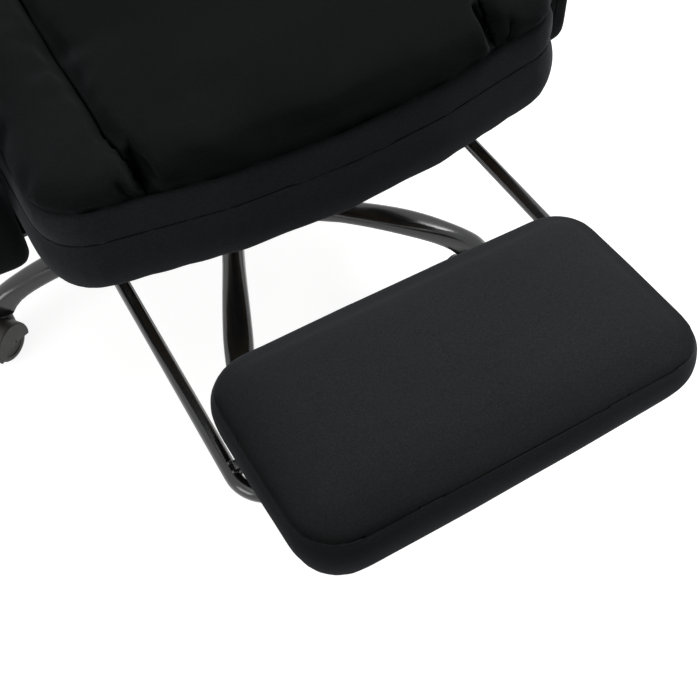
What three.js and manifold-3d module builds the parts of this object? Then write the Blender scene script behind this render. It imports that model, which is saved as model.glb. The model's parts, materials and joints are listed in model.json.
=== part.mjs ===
// Reclining office chair with a footrest that slides out from under the seat.
// Millimetres, +Z up, the sitter faces -Y, the sitter's left hand is on +X.
// The design frame stands on the column's axis. The finished group is moved so that
// its origin lies on the floor under the middle of the whole chair.
import * as THREE from 'three';
import { mergeVertices } from 'three/addons/utils/BufferGeometryUtils.js';
import Module from 'manifold-3d';

const wasm = await Module();
wasm.setup();

// Driving dimensions shared by several pieces
const touch = 0.3; // gap between pieces that bear on each other
const overrun = 4; // how far a cutting shape passes the faces that it cuts
const sheet = 3; // pressed steel sheet of the seat mechanism
const boardThickness = 12; // plywood under the seat and in the back

const castorReach = 315; // column axis to each castor stem
const castorFirstAngle = 30.8; // degrees from +X to the first arm
const wheelRadius = 26;
const cylinderRadius = 25;
const pistonRadius = 14;

const seatHalfWidth = 261;
const seatHalfDepth = 249;
const seatMiddleY = -74;
const seatBottom = 383;
const seatBandTop = 472;
const seatPillowEdge = 502;
const seatCornerRadius = 56;
const seatFrontBow = 27;

const railHalfSpan = 196; // middle of the seat to each footrest rail
const railRadius = 7.5;
const railHeight = 293;
const crossTubeY = -521;

const padHalfWidth = 193;
const padHalfDepth = 107;
const padMiddleY = -519;
const padLift = 10; // rail's middle line to the underside of the pad
const padBorder = 50; // underside of the pad to its seam
const padBottom = railHeight + padLift;
const padSeam = padBottom + padBorder;

const seatRear = seatMiddleY + seatHalfDepth;
const hingeSetback = 39; // recline axis behind the seat's rear edge
const hingeY = seatRear + hingeSetback;
const hingeZ = 430;
const backLean = 12; // degrees behind upright, as it stands in the picture
const backHeight = 720;
const backHalfWidth = 258;

// Finishes
const glossBlack = new THREE.MeshStandardMaterial({ color: 0x0b0c0d, roughness: 0.18, metalness: 0.6 });
const steelBlack = new THREE.MeshStandardMaterial({ color: 0x151617, roughness: 0.45, metalness: 0.8 });
const steelBright = new THREE.MeshStandardMaterial({ color: 0x9a9c9e, roughness: 0.3, metalness: 1.0 });
const nylon = new THREE.MeshStandardMaterial({ color: 0x2b2a2a, roughness: 0.55, metalness: 0.0 });
const plasticBlack = new THREE.MeshStandardMaterial({ color: 0x111212, roughness: 0.5, metalness: 0.0 });
const velvet = new THREE.MeshStandardMaterial({ color: 0x1c1d1f, roughness: 0.95, metalness: 0.0 });
const plywood = new THREE.MeshStandardMaterial({ color: 0x8a6a45, roughness: 0.8, metalness: 0.0 });

const chair = new THREE.Group();

function place(name, geometry, finish, parent = chair) {
  const mesh = new THREE.Mesh(closed(geometry), finish.clone());
  mesh.name = name;
  parent.add(mesh);
  return mesh;
}

// Shape helpers
const radians = THREE.MathUtils.degToRad;

// Merges shared vertices, drops collapsed triangles and turns every face outwards
function closed(geometry) {
  const bare = new THREE.BufferGeometry();
  bare.setAttribute('position', geometry.getAttribute('position').clone());
  if (geometry.index) {
    bare.setIndex(geometry.index.clone());
  }
  const merged = mergeVertices(bare);
  const points = merged.getAttribute('position');
  const corner = [new THREE.Vector3(), new THREE.Vector3(), new THREE.Vector3()];
  const kept = [];
  let volume = 0;
  for (let t = 0; t < merged.index.count; t += 3) {
    const ids = [0, 1, 2].map((k) => merged.index.getX(t + k));
    if (ids[0] === ids[1] || ids[1] === ids[2] || ids[2] === ids[0]) {
      continue;
    }
    ids.forEach((id, k) => corner[k].fromBufferAttribute(points, id));
    volume += corner[0].dot(corner[1].clone().cross(corner[2]));
    kept.push(ids);
  }
  merged.setIndex(kept.flatMap((ids) => (volume < 0 ? ids.slice().reverse() : ids)));
  merged.computeVertexNormals();
  return merged;
}

function solidOf(geometry) {
  const ready = closed(geometry);
  const mesh = new wasm.Mesh({
    numProp: 3,
    vertProperties: new Float32Array(ready.getAttribute('position').array),
    triVerts: new Uint32Array(ready.index.array),
  });
  return new wasm.Manifold(mesh);
}

function geometryOf(solid) {
  const mesh = solid.getMesh();
  const geometry = new THREE.BufferGeometry();
  geometry.setAttribute('position', new THREE.BufferAttribute(new Float32Array(mesh.vertProperties), 3));
  geometry.setIndex(Array.from(mesh.triVerts));
  return geometry;
}

function join(...geometries) {
  return geometryOf(geometries.map(solidOf).reduce((a, b) => a.add(b)));
}

function cut(geometry, ...tools) {
  return geometryOf(tools.map(solidOf).reduce((a, b) => a.subtract(b), solidOf(geometry)));
}

// A box between two corners
function block(x, y, z) {
  const box = new THREE.BoxGeometry(x[1] - x[0], y[1] - y[0], z[1] - z[0]);
  return box.translate((x[0] + x[1]) / 2, (y[0] + y[1]) / 2, (z[0] + z[1]) / 2);
}

// A round bar standing on z[0], or lying along X or Y
function rod(radius, z, sides = 20) {
  const bar = new THREE.CylinderGeometry(radius, radius, z[1] - z[0], sides);
  return bar.rotateX(Math.PI / 2).translate(0, 0, (z[0] + z[1]) / 2);
}

function rodAlongX(radius, x, sides = 20) {
  return rod(radius, x, sides).rotateY(Math.PI / 2);
}

function rodAlongY(radius, y, sides = 20) {
  return rod(radius, [-y[1], -y[0]], sides).rotateX(Math.PI / 2);
}

// A revolved profile of [radius, height] pairs round the Z axis
function turned(profile, segments) {
  const points = profile.map(([r, z]) => new THREE.Vector2(r, z));
  return new THREE.LatheGeometry(points, segments).rotateX(Math.PI / 2);
}

// A plate whose outline is drawn in Y and Z, as thick as the span x
function plateAcrossX(shape, x, bevel = 0) {
  const options = {
    depth: x[1] - x[0] - 2 * bevel,
    bevelEnabled: bevel > 0,
    bevelSize: bevel,
    bevelThickness: bevel,
    bevelOffset: -bevel,
    bevelSegments: 2,
    curveSegments: 4,
  };
  const turn = new THREE.Matrix4().makeBasis(
    new THREE.Vector3(0, 1, 0),
    new THREE.Vector3(0, 0, 1),
    new THREE.Vector3(1, 0, 0),
  );
  return new THREE.ExtrudeGeometry(shape, options).applyMatrix4(turn).translate(x[0] + bevel, 0, 0);
}

// A closed outline with every corner rounded
function roundedPolygon(corners, radius, target = new THREE.Shape()) {
  const points = corners.map(([x, y]) => new THREE.Vector2(x, y));
  points.forEach((corner, i) => {
    const before = points[(i + points.length - 1) % points.length];
    const after = points[(i + 1) % points.length];
    const start = corner.clone().add(before.clone().sub(corner).setLength(radius));
    const end = corner.clone().add(after.clone().sub(corner).setLength(radius));
    if (i === 0) {
      target.moveTo(start.x, start.y);
    } else {
      target.lineTo(start.x, start.y);
    }
    target.quadraticCurveTo(corner.x, corner.y, end.x, end.y);
  });
  target.closePath();
  return target;
}

// A path that keeps its own stations, so straight runs stay long and bends stay fine
class StationPath extends THREE.Curve {
  constructor(stations) {
    super();
    this.stations = stations;
  }
  getPoint(t) {
    const last = this.stations.length - 1;
    const at = Math.min(t * last, last);
    const rounding_share = 1e-6;
    const low = Math.min(Math.floor(at + rounding_share), last - 1);
    return this.stations[low].clone().lerp(this.stations[low + 1], at - low);
  }
  getPointAt(u) {
    return this.getPoint(u);
  }
  getTangent(t) {
    const last = this.stations.length - 1;
    const at = Math.round(t * last);
    const before = this.stations[Math.max(at - 1, 0)];
    const here = this.stations[at];
    const after = this.stations[Math.min(at + 1, last)];
    const coming = here.clone().sub(before).normalize();
    const going = after.clone().sub(here).normalize();
    return coming.add(going).normalize();
  }
  getTangentAt(u) {
    return this.getTangent(u);
  }
}

function tubeThrough(stations, radius, sides) {
  const ring = Array.from({ length: sides }, (_, i) => {
    const angle = (2 * Math.PI * i) / sides;
    return new THREE.Vector2(radius * Math.cos(angle), radius * Math.sin(angle));
  });
  const path = new StationPath(stations);
  return new THREE.ExtrudeGeometry(new THREE.Shape(ring), { steps: stations.length - 1, extrudePath: path });
}

// A solid through rings that all hold the same number of points
function loft(rings) {
  const count = rings[0].length;
  const positions = [];
  const index = [];
  rings.flat().forEach((p) => positions.push(p.x, p.y, p.z));
  for (let r = 0; r < rings.length - 1; r += 1) {
    for (let i = 0; i < count; i += 1) {
      const j = (i + 1) % count;
      const low = r * count;
      const high = low + count;
      index.push(low + i, low + j, high + j, low + i, high + j, high + i);
    }
  }
  [0, rings.length - 1].forEach((r) => {
    const middle = new THREE.Vector3();
    rings[r].forEach((p) => middle.addScaledVector(p, 1 / count));
    const apex = positions.length / 3;
    positions.push(middle.x, middle.y, middle.z);
    for (let i = 0; i < count; i += 1) {
      const a = r * count + i;
      const b = r * count + ((i + 1) % count);
      index.push(...(r === 0 ? [apex, b, a] : [apex, a, b]));
    }
  });
  const geometry = new THREE.BufferGeometry();
  geometry.setAttribute('position', new THREE.Float32BufferAttribute(positions, 3));
  geometry.setIndex(index);
  return geometry;
}

// A rounded rectangle seen from above, its front, rear and side edges bowed outwards
function roundedRing(plan, inset, z) {
  const halfX = plan.halfX - inset;
  const halfY = plan.halfY - inset;
  const smallest_share = 0.2;
  const corner_share = 0.95;
  const limit = corner_share * Math.min(halfX, halfY);
  const radius = Math.min(Math.max(plan.radius - inset, plan.radius * smallest_share), limit);
  const bows = [plan.bowRear || 0, plan.bowSide || 0, plan.bowFront || 0, plan.bowSide || 0];
  const signs = [[1, 1], [-1, 1], [-1, -1], [1, -1]];
  const cornerSteps = plan.cornerSteps || 5;
  const edgeSteps = plan.edgeSteps || 3;
  const arcs = signs.map(([sx, sy], k) => Array.from({ length: cornerSteps + 1 }, (_, i) => {
    const angle = (Math.PI / 2) * (k + i / cornerSteps);
    const x = sx * (halfX - radius) + radius * Math.cos(angle);
    const y = sy * (halfY - radius) + radius * Math.sin(angle);
    return new THREE.Vector2(x, y);
  }));
  const ring = [];
  arcs.forEach((arc, k) => {
    ring.push(...arc);
    const from = arc[cornerSteps];
    const to = arcs[(k + 1) % 4][0];
    const outward = new THREE.Vector2(Math.cos((Math.PI / 2) * (k + 1)), Math.sin((Math.PI / 2) * (k + 1)));
    for (let i = 1; i < edgeSteps; i += 1) {
      const along = (2 * i) / edgeSteps - 1;
      const bow = bows[k] * (1 - along * along);
      ring.push(from.clone().lerp(to, i / edgeSteps).addScaledVector(outward, bow));
    }
  });
  return ring.map((p) => new THREE.Vector3(p.x + (plan.x || 0), p.y + (plan.y || 0), z));
}

// A cushion: side rings of [height, inset], then a crown that rises to the middle
function cushion(plan, levels, crown, crownRings) {
  const rings = levels.map(([z, inset]) => roundedRing(plan, inset, z));
  const [edgeZ, edgeInset] = levels[levels.length - 1];
  const reach = Math.min(plan.halfX, plan.halfY) - edgeInset;
  const last_share = 0.9;
  const fullness_share = 2.6; // how soon the crown flattens out
  const spacing_share = 1.3;
  for (let k = 1; k <= crownRings; k += 1) {
    const share = last_share * (k / crownRings) ** spacing_share;
    const rise = crown * (1 - (1 - share) ** fullness_share);
    rings.push(roundedRing(plan, edgeInset + reach * share, edgeZ + rise));
  }
  return loft(rings);
}

// Side levels for a loft, as [height, inset] pairs in shares of one depth
function layers(base, depth, layer_shares) {
  return layer_shares.map(([up, inset]) => [base + up * depth, inset * depth]);
}

function standUp(geometry) {
  return geometry.rotateX(Math.PI / 2);
}

function mirrored(geometry) {
  return closed(geometry.clone().scale(-1, 1, 1));
}

// Five-star base: pressed arms, open underneath, that droop over the castor stems
const hubRadius = 37;
const hubTop = 129;
const hubBottom = 62;
const armRootTop = 125;
const armBendTop = 116;
const armTipTop = 64;
const armRootBottom = 88;
const armArchBottom = 92; // the rim's highest stretch, before it drops to the tip
const armTipBottom = 58;
const armRootHalfWidth = 14;
const armBendHalfWidth = 18.5;
const armTipHalfWidth = 17;
const bend_start_share = 0.66; // of the castor's reach
const arch_end_share = 0.952;
const armBendStart = castorReach * bend_start_share;
const armArchEnd = castorReach * arch_end_share;
const armNose = 18; // the arm ends this far past the castor stem
const armWall = 2.6;
const armEdgeRadius = 11;
const stemRadius = 5.5;
const stemSocketWall = 4;
const stemTop = 78;

// Falls from 1 to 0 between two distances along the arm, as a quarter ellipse does
function quarterFall(r, from, to) {
  const share = THREE.MathUtils.clamp((r - from) / (to - from), 0, 1);
  return Math.sqrt(1 - share * share);
}

function armRing(r, inset, drop) {
  const end = castorReach + armNose;
  const root = Math.min(r / armBendStart, 1);
  const crest = THREE.MathUtils.lerp(armRootTop, armBendTop, root);
  const top = armTipTop + (crest - armTipTop) * quarterFall(r, armBendStart, end);
  const arch = THREE.MathUtils.lerp(armRootBottom, armArchBottom, root);
  const bottom = armTipBottom + (arch - armTipBottom) * quarterFall(r, armBendStart, armArchEnd);
  const tip = THREE.MathUtils.clamp((r - armBendStart) / (end - armBendStart), 0, 1);
  const nose = THREE.MathUtils.clamp((r - castorReach) / armNose, 0, 1);
  const taper_share = 0.55;
  const nose_share = Math.sqrt(1 - taper_share * nose * nose);
  const inward = THREE.MathUtils.lerp(armRootHalfWidth, armBendHalfWidth, root);
  const half = THREE.MathUtils.lerp(inward, armTipHalfWidth, tip) * nose_share - inset;
  const edge = Math.min(armEdgeRadius, half + inset) - inset;
  const flat_share = 0.5;
  const height = Math.min(edge, flat_share * (top - bottom));
  const ring = [new THREE.Vector3(r, half, bottom - drop)];
  const arcSteps = 2;
  [1, -1].forEach((side) => {
    for (let i = 0; i <= arcSteps; i += 1) {
      const angle = (Math.PI / 2) * (side > 0 ? i / arcSteps : 1 - i / arcSteps);
      const y = side * (half - edge + edge * Math.cos(angle));
      ring.push(new THREE.Vector3(r, y, top - inset - height + height * Math.sin(angle)));
    }
  });
  ring.push(new THREE.Vector3(r, -half, bottom - drop));
  return ring;
}

function baseStar() {
  const end = castorReach + armNose;
  const outer_shares = [0.06, 0.655, 0.76, 0.84, 0.893, 0.945, 0.98, 0.998];
  const hub = rod(hubRadius, [hubBottom, hubTop], 25);
  let body = solidOf(hub);
  let hollow = null;
  let sockets = null;
  for (let k = 0; k < 5; k += 1) {
    const turn = radians(castorFirstAngle + 72 * k);
    const outer = loft(outer_shares.map((s) => armRing(s * end, 0, 0))).rotateZ(turn);
    const inner_shares = outer_shares.slice(0, -1);
    const inner = loft(inner_shares.map((s) => armRing(s * (end - armWall), armWall, overrun))).rotateZ(turn);
    const post = rod(stemRadius + stemSocketWall, [armTipBottom, hubTop], 10).translate(castorReach, 0, 0);
    const socket = solidOf(post.rotateZ(turn)).intersect(solidOf(outer));
    body = body.add(solidOf(outer));
    hollow = hollow ? hollow.add(solidOf(inner)) : solidOf(inner);
    sockets = sockets ? sockets.add(socket) : socket;
  }
  body = body.subtract(hollow).add(solidOf(hub)).add(sockets);
  const bore = rod(cylinderRadius + touch, [hubBottom - overrun, hubTop + overrun], 28);
  body = body.subtract(solidOf(bore));
  for (let k = 0; k < 5; k += 1) {
    const turn = radians(castorFirstAngle + 72 * k);
    const hole = rod(stemRadius + touch, [armTipBottom - overrun, stemTop + touch], 10);
    body = body.subtract(solidOf(hole.translate(castorReach, 0, 0).rotateZ(turn)));
  }
  return geometryOf(body);
}
place('base_star', baseStar(), glossBlack);

// Castors: a hooded frame with a stem, an axle and twin wheels
const castorTrail = 24;
const castorHeadings = [200, 245, 215, 5, 205]; // degrees, where each wheel trails from its stem
const hoodWall = 2.2;
const wheelClearance = 0.8;
const castorWeb = 6;
const wheelWidth = 18;
const axleRadius = 3;
const hoodRadius = wheelRadius + wheelClearance + hoodWall;
const hoodHalfWidth = castorWeb / 2 + wheelClearance + wheelWidth + 1.4 * hoodWall;
const hoodSkirt = 18; // height of the hood's lower rim above the floor
const castorCollarRadius = 9;
const axleHalfLength = castorWeb / 2 + wheelClearance + 0.7 * wheelWidth;

function castorFrame() {
  const around = (radius, y) => rodAlongY(radius, y, 14).translate(castorTrail, 0, wheelRadius);
  const half = hoodHalfWidth;
  const side = [castorWeb / 2, half + overrun];
  let body = solidOf(around(hoodRadius, [-half, half]));
  [side, [-side[1], -side[0]]].forEach((span) => {
    body = body.subtract(solidOf(around(hoodRadius - hoodWall, span)));
  });
  const farX = [castorTrail - hoodRadius - overrun, castorTrail + hoodRadius + overrun];
  body = body.subtract(solidOf(block(farX, [-half - overrun, half + overrun], [-overrun, hoodSkirt])));
  const boss = rodAlongY(axleRadius + 3 * hoodWall, [-castorWeb / 2, castorWeb / 2], 12);
  const hub = boss.translate(castorTrail, 0, wheelRadius);
  const collar = rod(castorCollarRadius, [wheelRadius + axleRadius, armTipBottom - touch], 12);
  const stem = rod(stemRadius, [armTipBottom - 2 * overrun, stemTop], 10);
  const keepOut = around(wheelRadius + wheelClearance, side);
  const keepOutOther = around(wheelRadius + wheelClearance, [-side[1], -side[0]]);
  body = body.add(solidOf(hub)).add(solidOf(collar)).add(solidOf(stem));
  body = body.subtract(solidOf(keepOut)).subtract(solidOf(keepOutOther));
  const bore = rodAlongY(axleRadius + touch, [-half, half], 10).translate(castorTrail, 0, wheelRadius);
  return geometryOf(body.subtract(solidOf(bore)));
}

function castorWheel(side) {
  const inner = castorWeb / 2 + wheelClearance;
  const outer = inner + wheelWidth;
  const bore = axleRadius + touch;
  const shoulder = 0.12 * wheelRadius;
  const capRadius = 0.62 * wheelRadius;
  const dish = 0.12 * wheelWidth;
  const profile = [
    [0, outer - dish],
    [capRadius, outer - dish],
    [capRadius + dish, outer],
    [wheelRadius - shoulder, outer],
    [wheelRadius, outer - shoulder],
    [wheelRadius, inner],
    [bore, inner],
    [bore, axleHalfLength + touch],
    [0, axleHalfLength + touch],
  ];
  const wheel = turned(profile, 14).rotateX(-Math.PI / 2);
  return side > 0 ? wheel : closed(wheel.clone().scale(1, -1, 1));
}

for (let k = 0; k < 5; k += 1) {
  const castor = new THREE.Group();
  const angle = radians(castorFirstAngle + 72 * k);
  castor.position.set(castorReach * Math.cos(angle), castorReach * Math.sin(angle), 0);
  castor.rotation.z = radians(castorHeadings[k]);
  chair.add(castor);
  const name = `castor_${k + 1}`;
  place(`${name}_frame`, castorFrame(), nylon, castor);
  const axle = rodAlongY(axleRadius, [-axleHalfLength, axleHalfLength], 10);
  place(`${name}_axle`, axle, steelBright, castor).position.set(castorTrail, 0, wheelRadius);
  [['left', 1], ['right', -1]].forEach(([label, side]) => {
    const wheel = place(`${name}_wheel_${label}`, castorWheel(side), nylon, castor);
    wheel.position.set(castorTrail, 0, wheelRadius);
  });
}

// Column: gas cylinder, piston and the three telescoping cover tubes
const cylinderBottom = 58;
const cylinderTop = 268;
const pistonBottom = 114;
const pistonWellBottom = 70;
const mechanismBottom = 322;
const pistonTop = 350;
const coverHeight = 90;
const coverWall = 2;
const coverPlay = 1.2; // cylinder to the innermost cover
const coverStep = 0.5; // running gap between one cover tube and the next
const upperCoverRadius = cylinderRadius + coverPlay + coverWall;
const middleCoverRadius = upperCoverRadius + coverStep + coverWall;
const lowerCoverRadius = middleCoverRadius + coverStep + coverWall;

function tubeWall(outer, wall, z, segments = 20) {
  const profile = [
    [outer - wall, z[0]],
    [outer, z[0]],
    [outer, z[1]],
    [outer - wall, z[1]],
    [outer - wall, z[0]],
  ];
  return turned(profile, segments);
}

function gasCylinder() {
  const tube = rod(cylinderRadius, [cylinderBottom, cylinderTop], 24);
  return cut(tube, rod(pistonRadius + touch, [pistonWellBottom, cylinderTop + overrun], 18));
}
place('gas_cylinder', gasCylinder(), steelBlack);
place('gas_piston', rod(pistonRadius, [pistonBottom, pistonTop], 18), steelBright);

const lowerCoverBottom = hubTop + touch;
const upperCoverTop = mechanismBottom - touch;
const middleCoverBottom = (lowerCoverBottom + upperCoverTop - coverHeight) / 2;
const covers = [
  ['column_cover_lower', lowerCoverRadius, lowerCoverBottom],
  ['column_cover_middle', middleCoverRadius, middleCoverBottom],
  ['column_cover_upper', upperCoverRadius, upperCoverTop - coverHeight],
];
covers.forEach(([name, radius, low]) => {
  place(name, tubeWall(radius, coverWall, [low, low + coverHeight]), plasticBlack);
});

// Tilt mechanism: a pressed pan on the piston and a plate that pivots on its pin
const panHalfWidth = 55;
const panFront = -102;
const panRear = 70;
const panRearTop = 344;
const panFrontTop = 373;
const pivotY = -65;
const pivotZ = 356;
const pivotRadius = 5;
const socketWall = 6;
const knobY = -84;
const knobBoltRadius = 4;
const plateTop = seatBottom - touch;
const plateHalfWidth = 100;
const plateFront = -132;
const plateRear = 100;
const earHalfLength = 26;
const earBottom = 338;
const earGap = 1;
const leverY = -32;
const leverZ = 340;
const leverRadius = 4;

function tiltPan() {
  const side = new THREE.Shape([
    new THREE.Vector2(panFront, mechanismBottom),
    new THREE.Vector2(panRear, mechanismBottom),
    new THREE.Vector2(panRear, panRearTop),
    new THREE.Vector2(pivotY + pivotRadius * 3, panFrontTop),
    new THREE.Vector2(panFront + sheet * 4, panFrontTop),
    new THREE.Vector2(panFront, panFrontTop - sheet * 4),
  ]);
  const body = plateAcrossX(side, [-panHalfWidth, panHalfWidth]);
  const pocketX = [-panHalfWidth + sheet, panHalfWidth - sheet];
  const pocket = block(pocketX, [panFront + sheet, panRear - sheet], [mechanismBottom + sheet, seatBottom]);
  const socket = rod(pistonRadius + socketWall, [mechanismBottom, pistonTop - sheet], 18);
  const across = [-panHalfWidth - overrun, panHalfWidth + overrun];
  const holes = [
    rod(pistonRadius + touch, [mechanismBottom - overrun, seatBottom], 18),
    rodAlongX(pivotRadius + touch, across, 16).translate(0, pivotY, pivotZ),
    rod(knobBoltRadius + touch, [mechanismBottom - overrun, pivotZ - pivotRadius], 12).translate(0, knobY, 0),
    rodAlongX(leverRadius + touch, [-panHalfWidth - overrun, 0], 16).translate(0, leverY, leverZ),
  ];
  return cut(join(cut(body, pocket), socket), ...holes);
}
place('tilt_housing', tiltPan(), steelBlack);

function seatPlate() {
  const across = [-plateHalfWidth, plateHalfWidth];
  const plate = block(across, [plateFront, plateRear], [plateTop - sheet, plateTop]);
  const earX = panHalfWidth + earGap;
  const ears = [-1, 1].map((side) => {
    const x = side > 0 ? [earX, earX + sheet] : [-earX - sheet, -earX];
    return block(x, [pivotY - earHalfLength, pivotY + earHalfLength], [earBottom, plateTop - sheet / 2]);
  });
  const ribs = [-1, 1].map((side) => {
    const x = side > 0 ? [plateHalfWidth - sheet, plateHalfWidth] : [-plateHalfWidth, sheet - plateHalfWidth];
    return block(x, [plateFront, plateRear], [plateTop - sheet * 3, plateTop - sheet / 2]);
  });
  const far = earX + 2 * sheet;
  const hole = rodAlongX(pivotRadius + touch, [-far, far], 16).translate(0, pivotY, pivotZ);
  return cut(join(plate, ...ears, ...ribs), hole);
}
place('seat_plate', seatPlate(), steelBlack);
const pinHalfLength = panHalfWidth + earGap + 2 * sheet;
const tiltPin = rodAlongX(pivotRadius, [-pinHalfLength, pinHalfLength], 16);
place('tilt_pin', tiltPin, steelBright).position.set(0, pivotY, pivotZ);

// Tension knob under the front of the pan, with the spring that it loads
const knobRadius = 23;
const knobHeight = 30;
const knobTop = mechanismBottom - touch;
const knobLobes = 8;
const springRadius = 9;
const springWire = 3;
const springTop = 352;
const springTurns = 3;

function tensionKnob() {
  const grip = [];
  const waves = knobLobes * 4;
  for (let i = 0; i < waves; i += 1) {
    const angle = (2 * Math.PI * i) / waves;
    const r = knobRadius * (1 - 0.06 * (1 - Math.cos(knobLobes * angle)));
    grip.push(new THREE.Vector2(r * Math.cos(angle), r * Math.sin(angle)));
  }
  const levels = [[0, 0.9], [0.08, 0.98], [0.85, 1], [1, 0.82]];
  const rings = levels.map(([lift, spread]) => grip.map((p) => {
    const z = knobTop - knobHeight + knobHeight * lift;
    return new THREE.Vector3(p.x * spread, p.y * spread, z);
  }));
  const bolt = rod(knobBoltRadius, [knobTop - overrun, springTop], 12);
  return join(loft(rings), bolt).translate(0, knobY, 0);
}
place('tension_knob', tensionKnob(), plasticBlack);

function tensionSpring() {
  const low = mechanismBottom + sheet + touch + springWire / 2;
  const high = springTop - springWire / 2;
  const steps = springTurns * 8;
  const stations = Array.from({ length: steps + 1 }, (_, i) => {
    const angle = (2 * Math.PI * springTurns * i) / steps;
    const z = THREE.MathUtils.lerp(low, high, i / steps);
    return new THREE.Vector3(springRadius * Math.cos(angle), springRadius * Math.sin(angle), z);
  });
  return tubeThrough(stations, springWire / 2, 5).translate(0, knobY, 0);
}
place('tension_spring', tensionSpring(), steelBright);

// Height lever: a rod out of the pan's right side, with a flat paddle
const leverInner = -24;
const leverPaddleStart = -150;
const leverPaddleEnd = -236;
const paddleHalfWidth = 13;
const paddleThickness = 9;

function heightLever() {
  const bar = rodAlongX(leverRadius, [leverPaddleStart - overrun, leverInner], 14);
  const paddle = new THREE.Shape();
  roundedPolygon([
    [leverPaddleStart, -paddleHalfWidth * 0.6],
    [leverPaddleStart, paddleHalfWidth * 0.6],
    [leverPaddleEnd, paddleHalfWidth],
    [leverPaddleEnd, -paddleHalfWidth],
  ], paddleHalfWidth * 0.55, paddle);
  const bevel = paddleThickness / 4;
  const options = {
    depth: paddleThickness - 2 * bevel,
    bevelSize: bevel,
    bevelThickness: bevel,
    bevelOffset: -bevel,
    bevelSegments: 2,
    curveSegments: 4,
  };
  const grip = new THREE.ExtrudeGeometry(paddle, options).translate(0, 0, bevel - paddleThickness / 2);
  return join(bar, grip);
}
place('height_lever', heightLever(), plasticBlack).position.set(0, leverY, leverZ);

// Seat: board, banded cushion and channelled pillow
const boardInset = 14;
const seatRearBow = 3;
const seatSideBow = 2;
const seatPlan = {
  halfX: seatHalfWidth,
  halfY: seatHalfDepth,
  radius: seatCornerRadius,
  bowFront: seatFrontBow,
  bowRear: seatRearBow,
  bowSide: seatSideBow,
  y: seatMiddleY,
  edgeSteps: 4,
};
const seatSeam = 441; // the band's second seam
const seamDip = 4;
const seatCrown = 12;
const channelX = 177;
const channelRadius = 10;

function flatPanel(plan, inset, z) {
  return loft([roundedRing(plan, inset, z[0]), roundedRing(plan, inset, z[1])]);
}
place('seat_board', flatPanel(seatPlan, boardInset, [seatBottom, seatBottom + boardThickness]), plywood);

function seatCushion() {
  const levels = [
    [seatBottom, 1.2 * seamDip],
    [seatBottom + seamDip, 0.4 * seamDip],
    [seatBottom + 4 * seamDip, 0.1 * seamDip],
    [(seatBottom + seatSeam) / 2, 0],
    [seatSeam - 2 * seamDip, 0.3 * seamDip],
    [seatSeam - seamDip / 2, seamDip],
    [seatSeam + seamDip / 2, seamDip],
    [seatSeam + 1.7 * seamDip, 0.3 * seamDip],
    [seatBandTop - 1.7 * seamDip, 0.3 * seamDip],
    [seatBandTop - touch, 1.6 * seamDip],
  ];
  const body = loft(levels.map(([z, inset]) => roundedRing(seatPlan, inset, z)));
  const pocketZ = [seatBottom - overrun, seatBottom + boardThickness + touch];
  return cut(body, flatPanel(seatPlan, boardInset - touch, pocketZ));
}
place('seat_cushion', seatCushion(), velvet);

// A groove that runs along the crown where the bolster is sewn to the middle
function sewnChannel(points, radius) {
  const curve = new THREE.CatmullRomCurve3(points);
  return tubeThrough(curve.getSpacedPoints(10), radius, 8);
}

function seatPillow() {
  const edge = seatPillowEdge;
  const levels = [
    [seatBandTop, 1.8 * seamDip],
    [seatBandTop + seamDip, 0.6 * seamDip],
    [seatBandTop + 3 * seamDip, 0],
    [edge - 2 * seamDip, seamDip],
    [edge, 4 * seamDip],
  ];
  const body = cushion(seatPlan, levels, seatCrown, 6);
  const channel_bow_share = 0.3; // how much of the front's bow is left at the channels
  const front = seatMiddleY - seatHalfDepth - channel_bow_share * seatFrontBow;
  const grooves = [-1, 1].map((side) => sewnChannel([
    new THREE.Vector3(side * channelX * 0.95, front - channelRadius, seatBandTop + channelRadius),
    new THREE.Vector3(side * channelX * 0.955, front + channelRadius, edge + channelRadius / 2),
    new THREE.Vector3(side * channelX, front + 6 * channelRadius, edge + seatCrown),
    new THREE.Vector3(side * channelX, seatMiddleY, edge + seatCrown + channelRadius / 3),
    new THREE.Vector3(side * channelX, seatRear - 4 * channelRadius, edge + seatCrown),
    new THREE.Vector3(side * channelX, seatRear + channelRadius, edge),
  ], channelRadius));
  return cut(body, ...grooves);
}
place('seat_pillow', seatPillow(), velvet);

// Armrests: padded loops on steel brackets under the seat
const armInner = 272.5;
const armThickness = 64;
const armFront = -224;
const armSetback = 31; // seat rear to the armrest's rear edge
const armRear = seatRear - armSetback;
const armBottom = 350;
const armTop = 668;
const armPadThickness = 30;
const armLimb = 62; // depth of the loop's four limbs
const armCorner = 34;
const armBevel = 11;
const armLean = 14; // the front limb leans forwards by this much
const armPadLip = 3;
const armPadRadius = 26;
const bracketSheet = 4;
const bracketInnerX = 160;
const bracketStrip = 46;
const bracketFront = -210;
const bracketRear = armRear - armLimb;
const bracketUpright = 430;

function armLoop() {
  const lean = armLean;
  const outline = roundedPolygon([
    [armFront, armBottom],
    [armRear - 2 * lean, armBottom],
    [armRear, armTop],
    [armFront - lean, armTop],
  ], armCorner);
  const window = roundedPolygon([
    [armFront + armLimb, armBottom + armLimb],
    [armFront + armLimb - lean, armTop - armLimb],
    [armRear - armLimb, armTop - armLimb],
    [armRear - armLimb - 2 * lean, armBottom + armLimb],
  ], armCorner * 0.7, new THREE.Path());
  outline.holes.push(window);
  return plateAcrossX(outline, [armInner, armInner + armThickness], armBevel);
}

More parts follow.
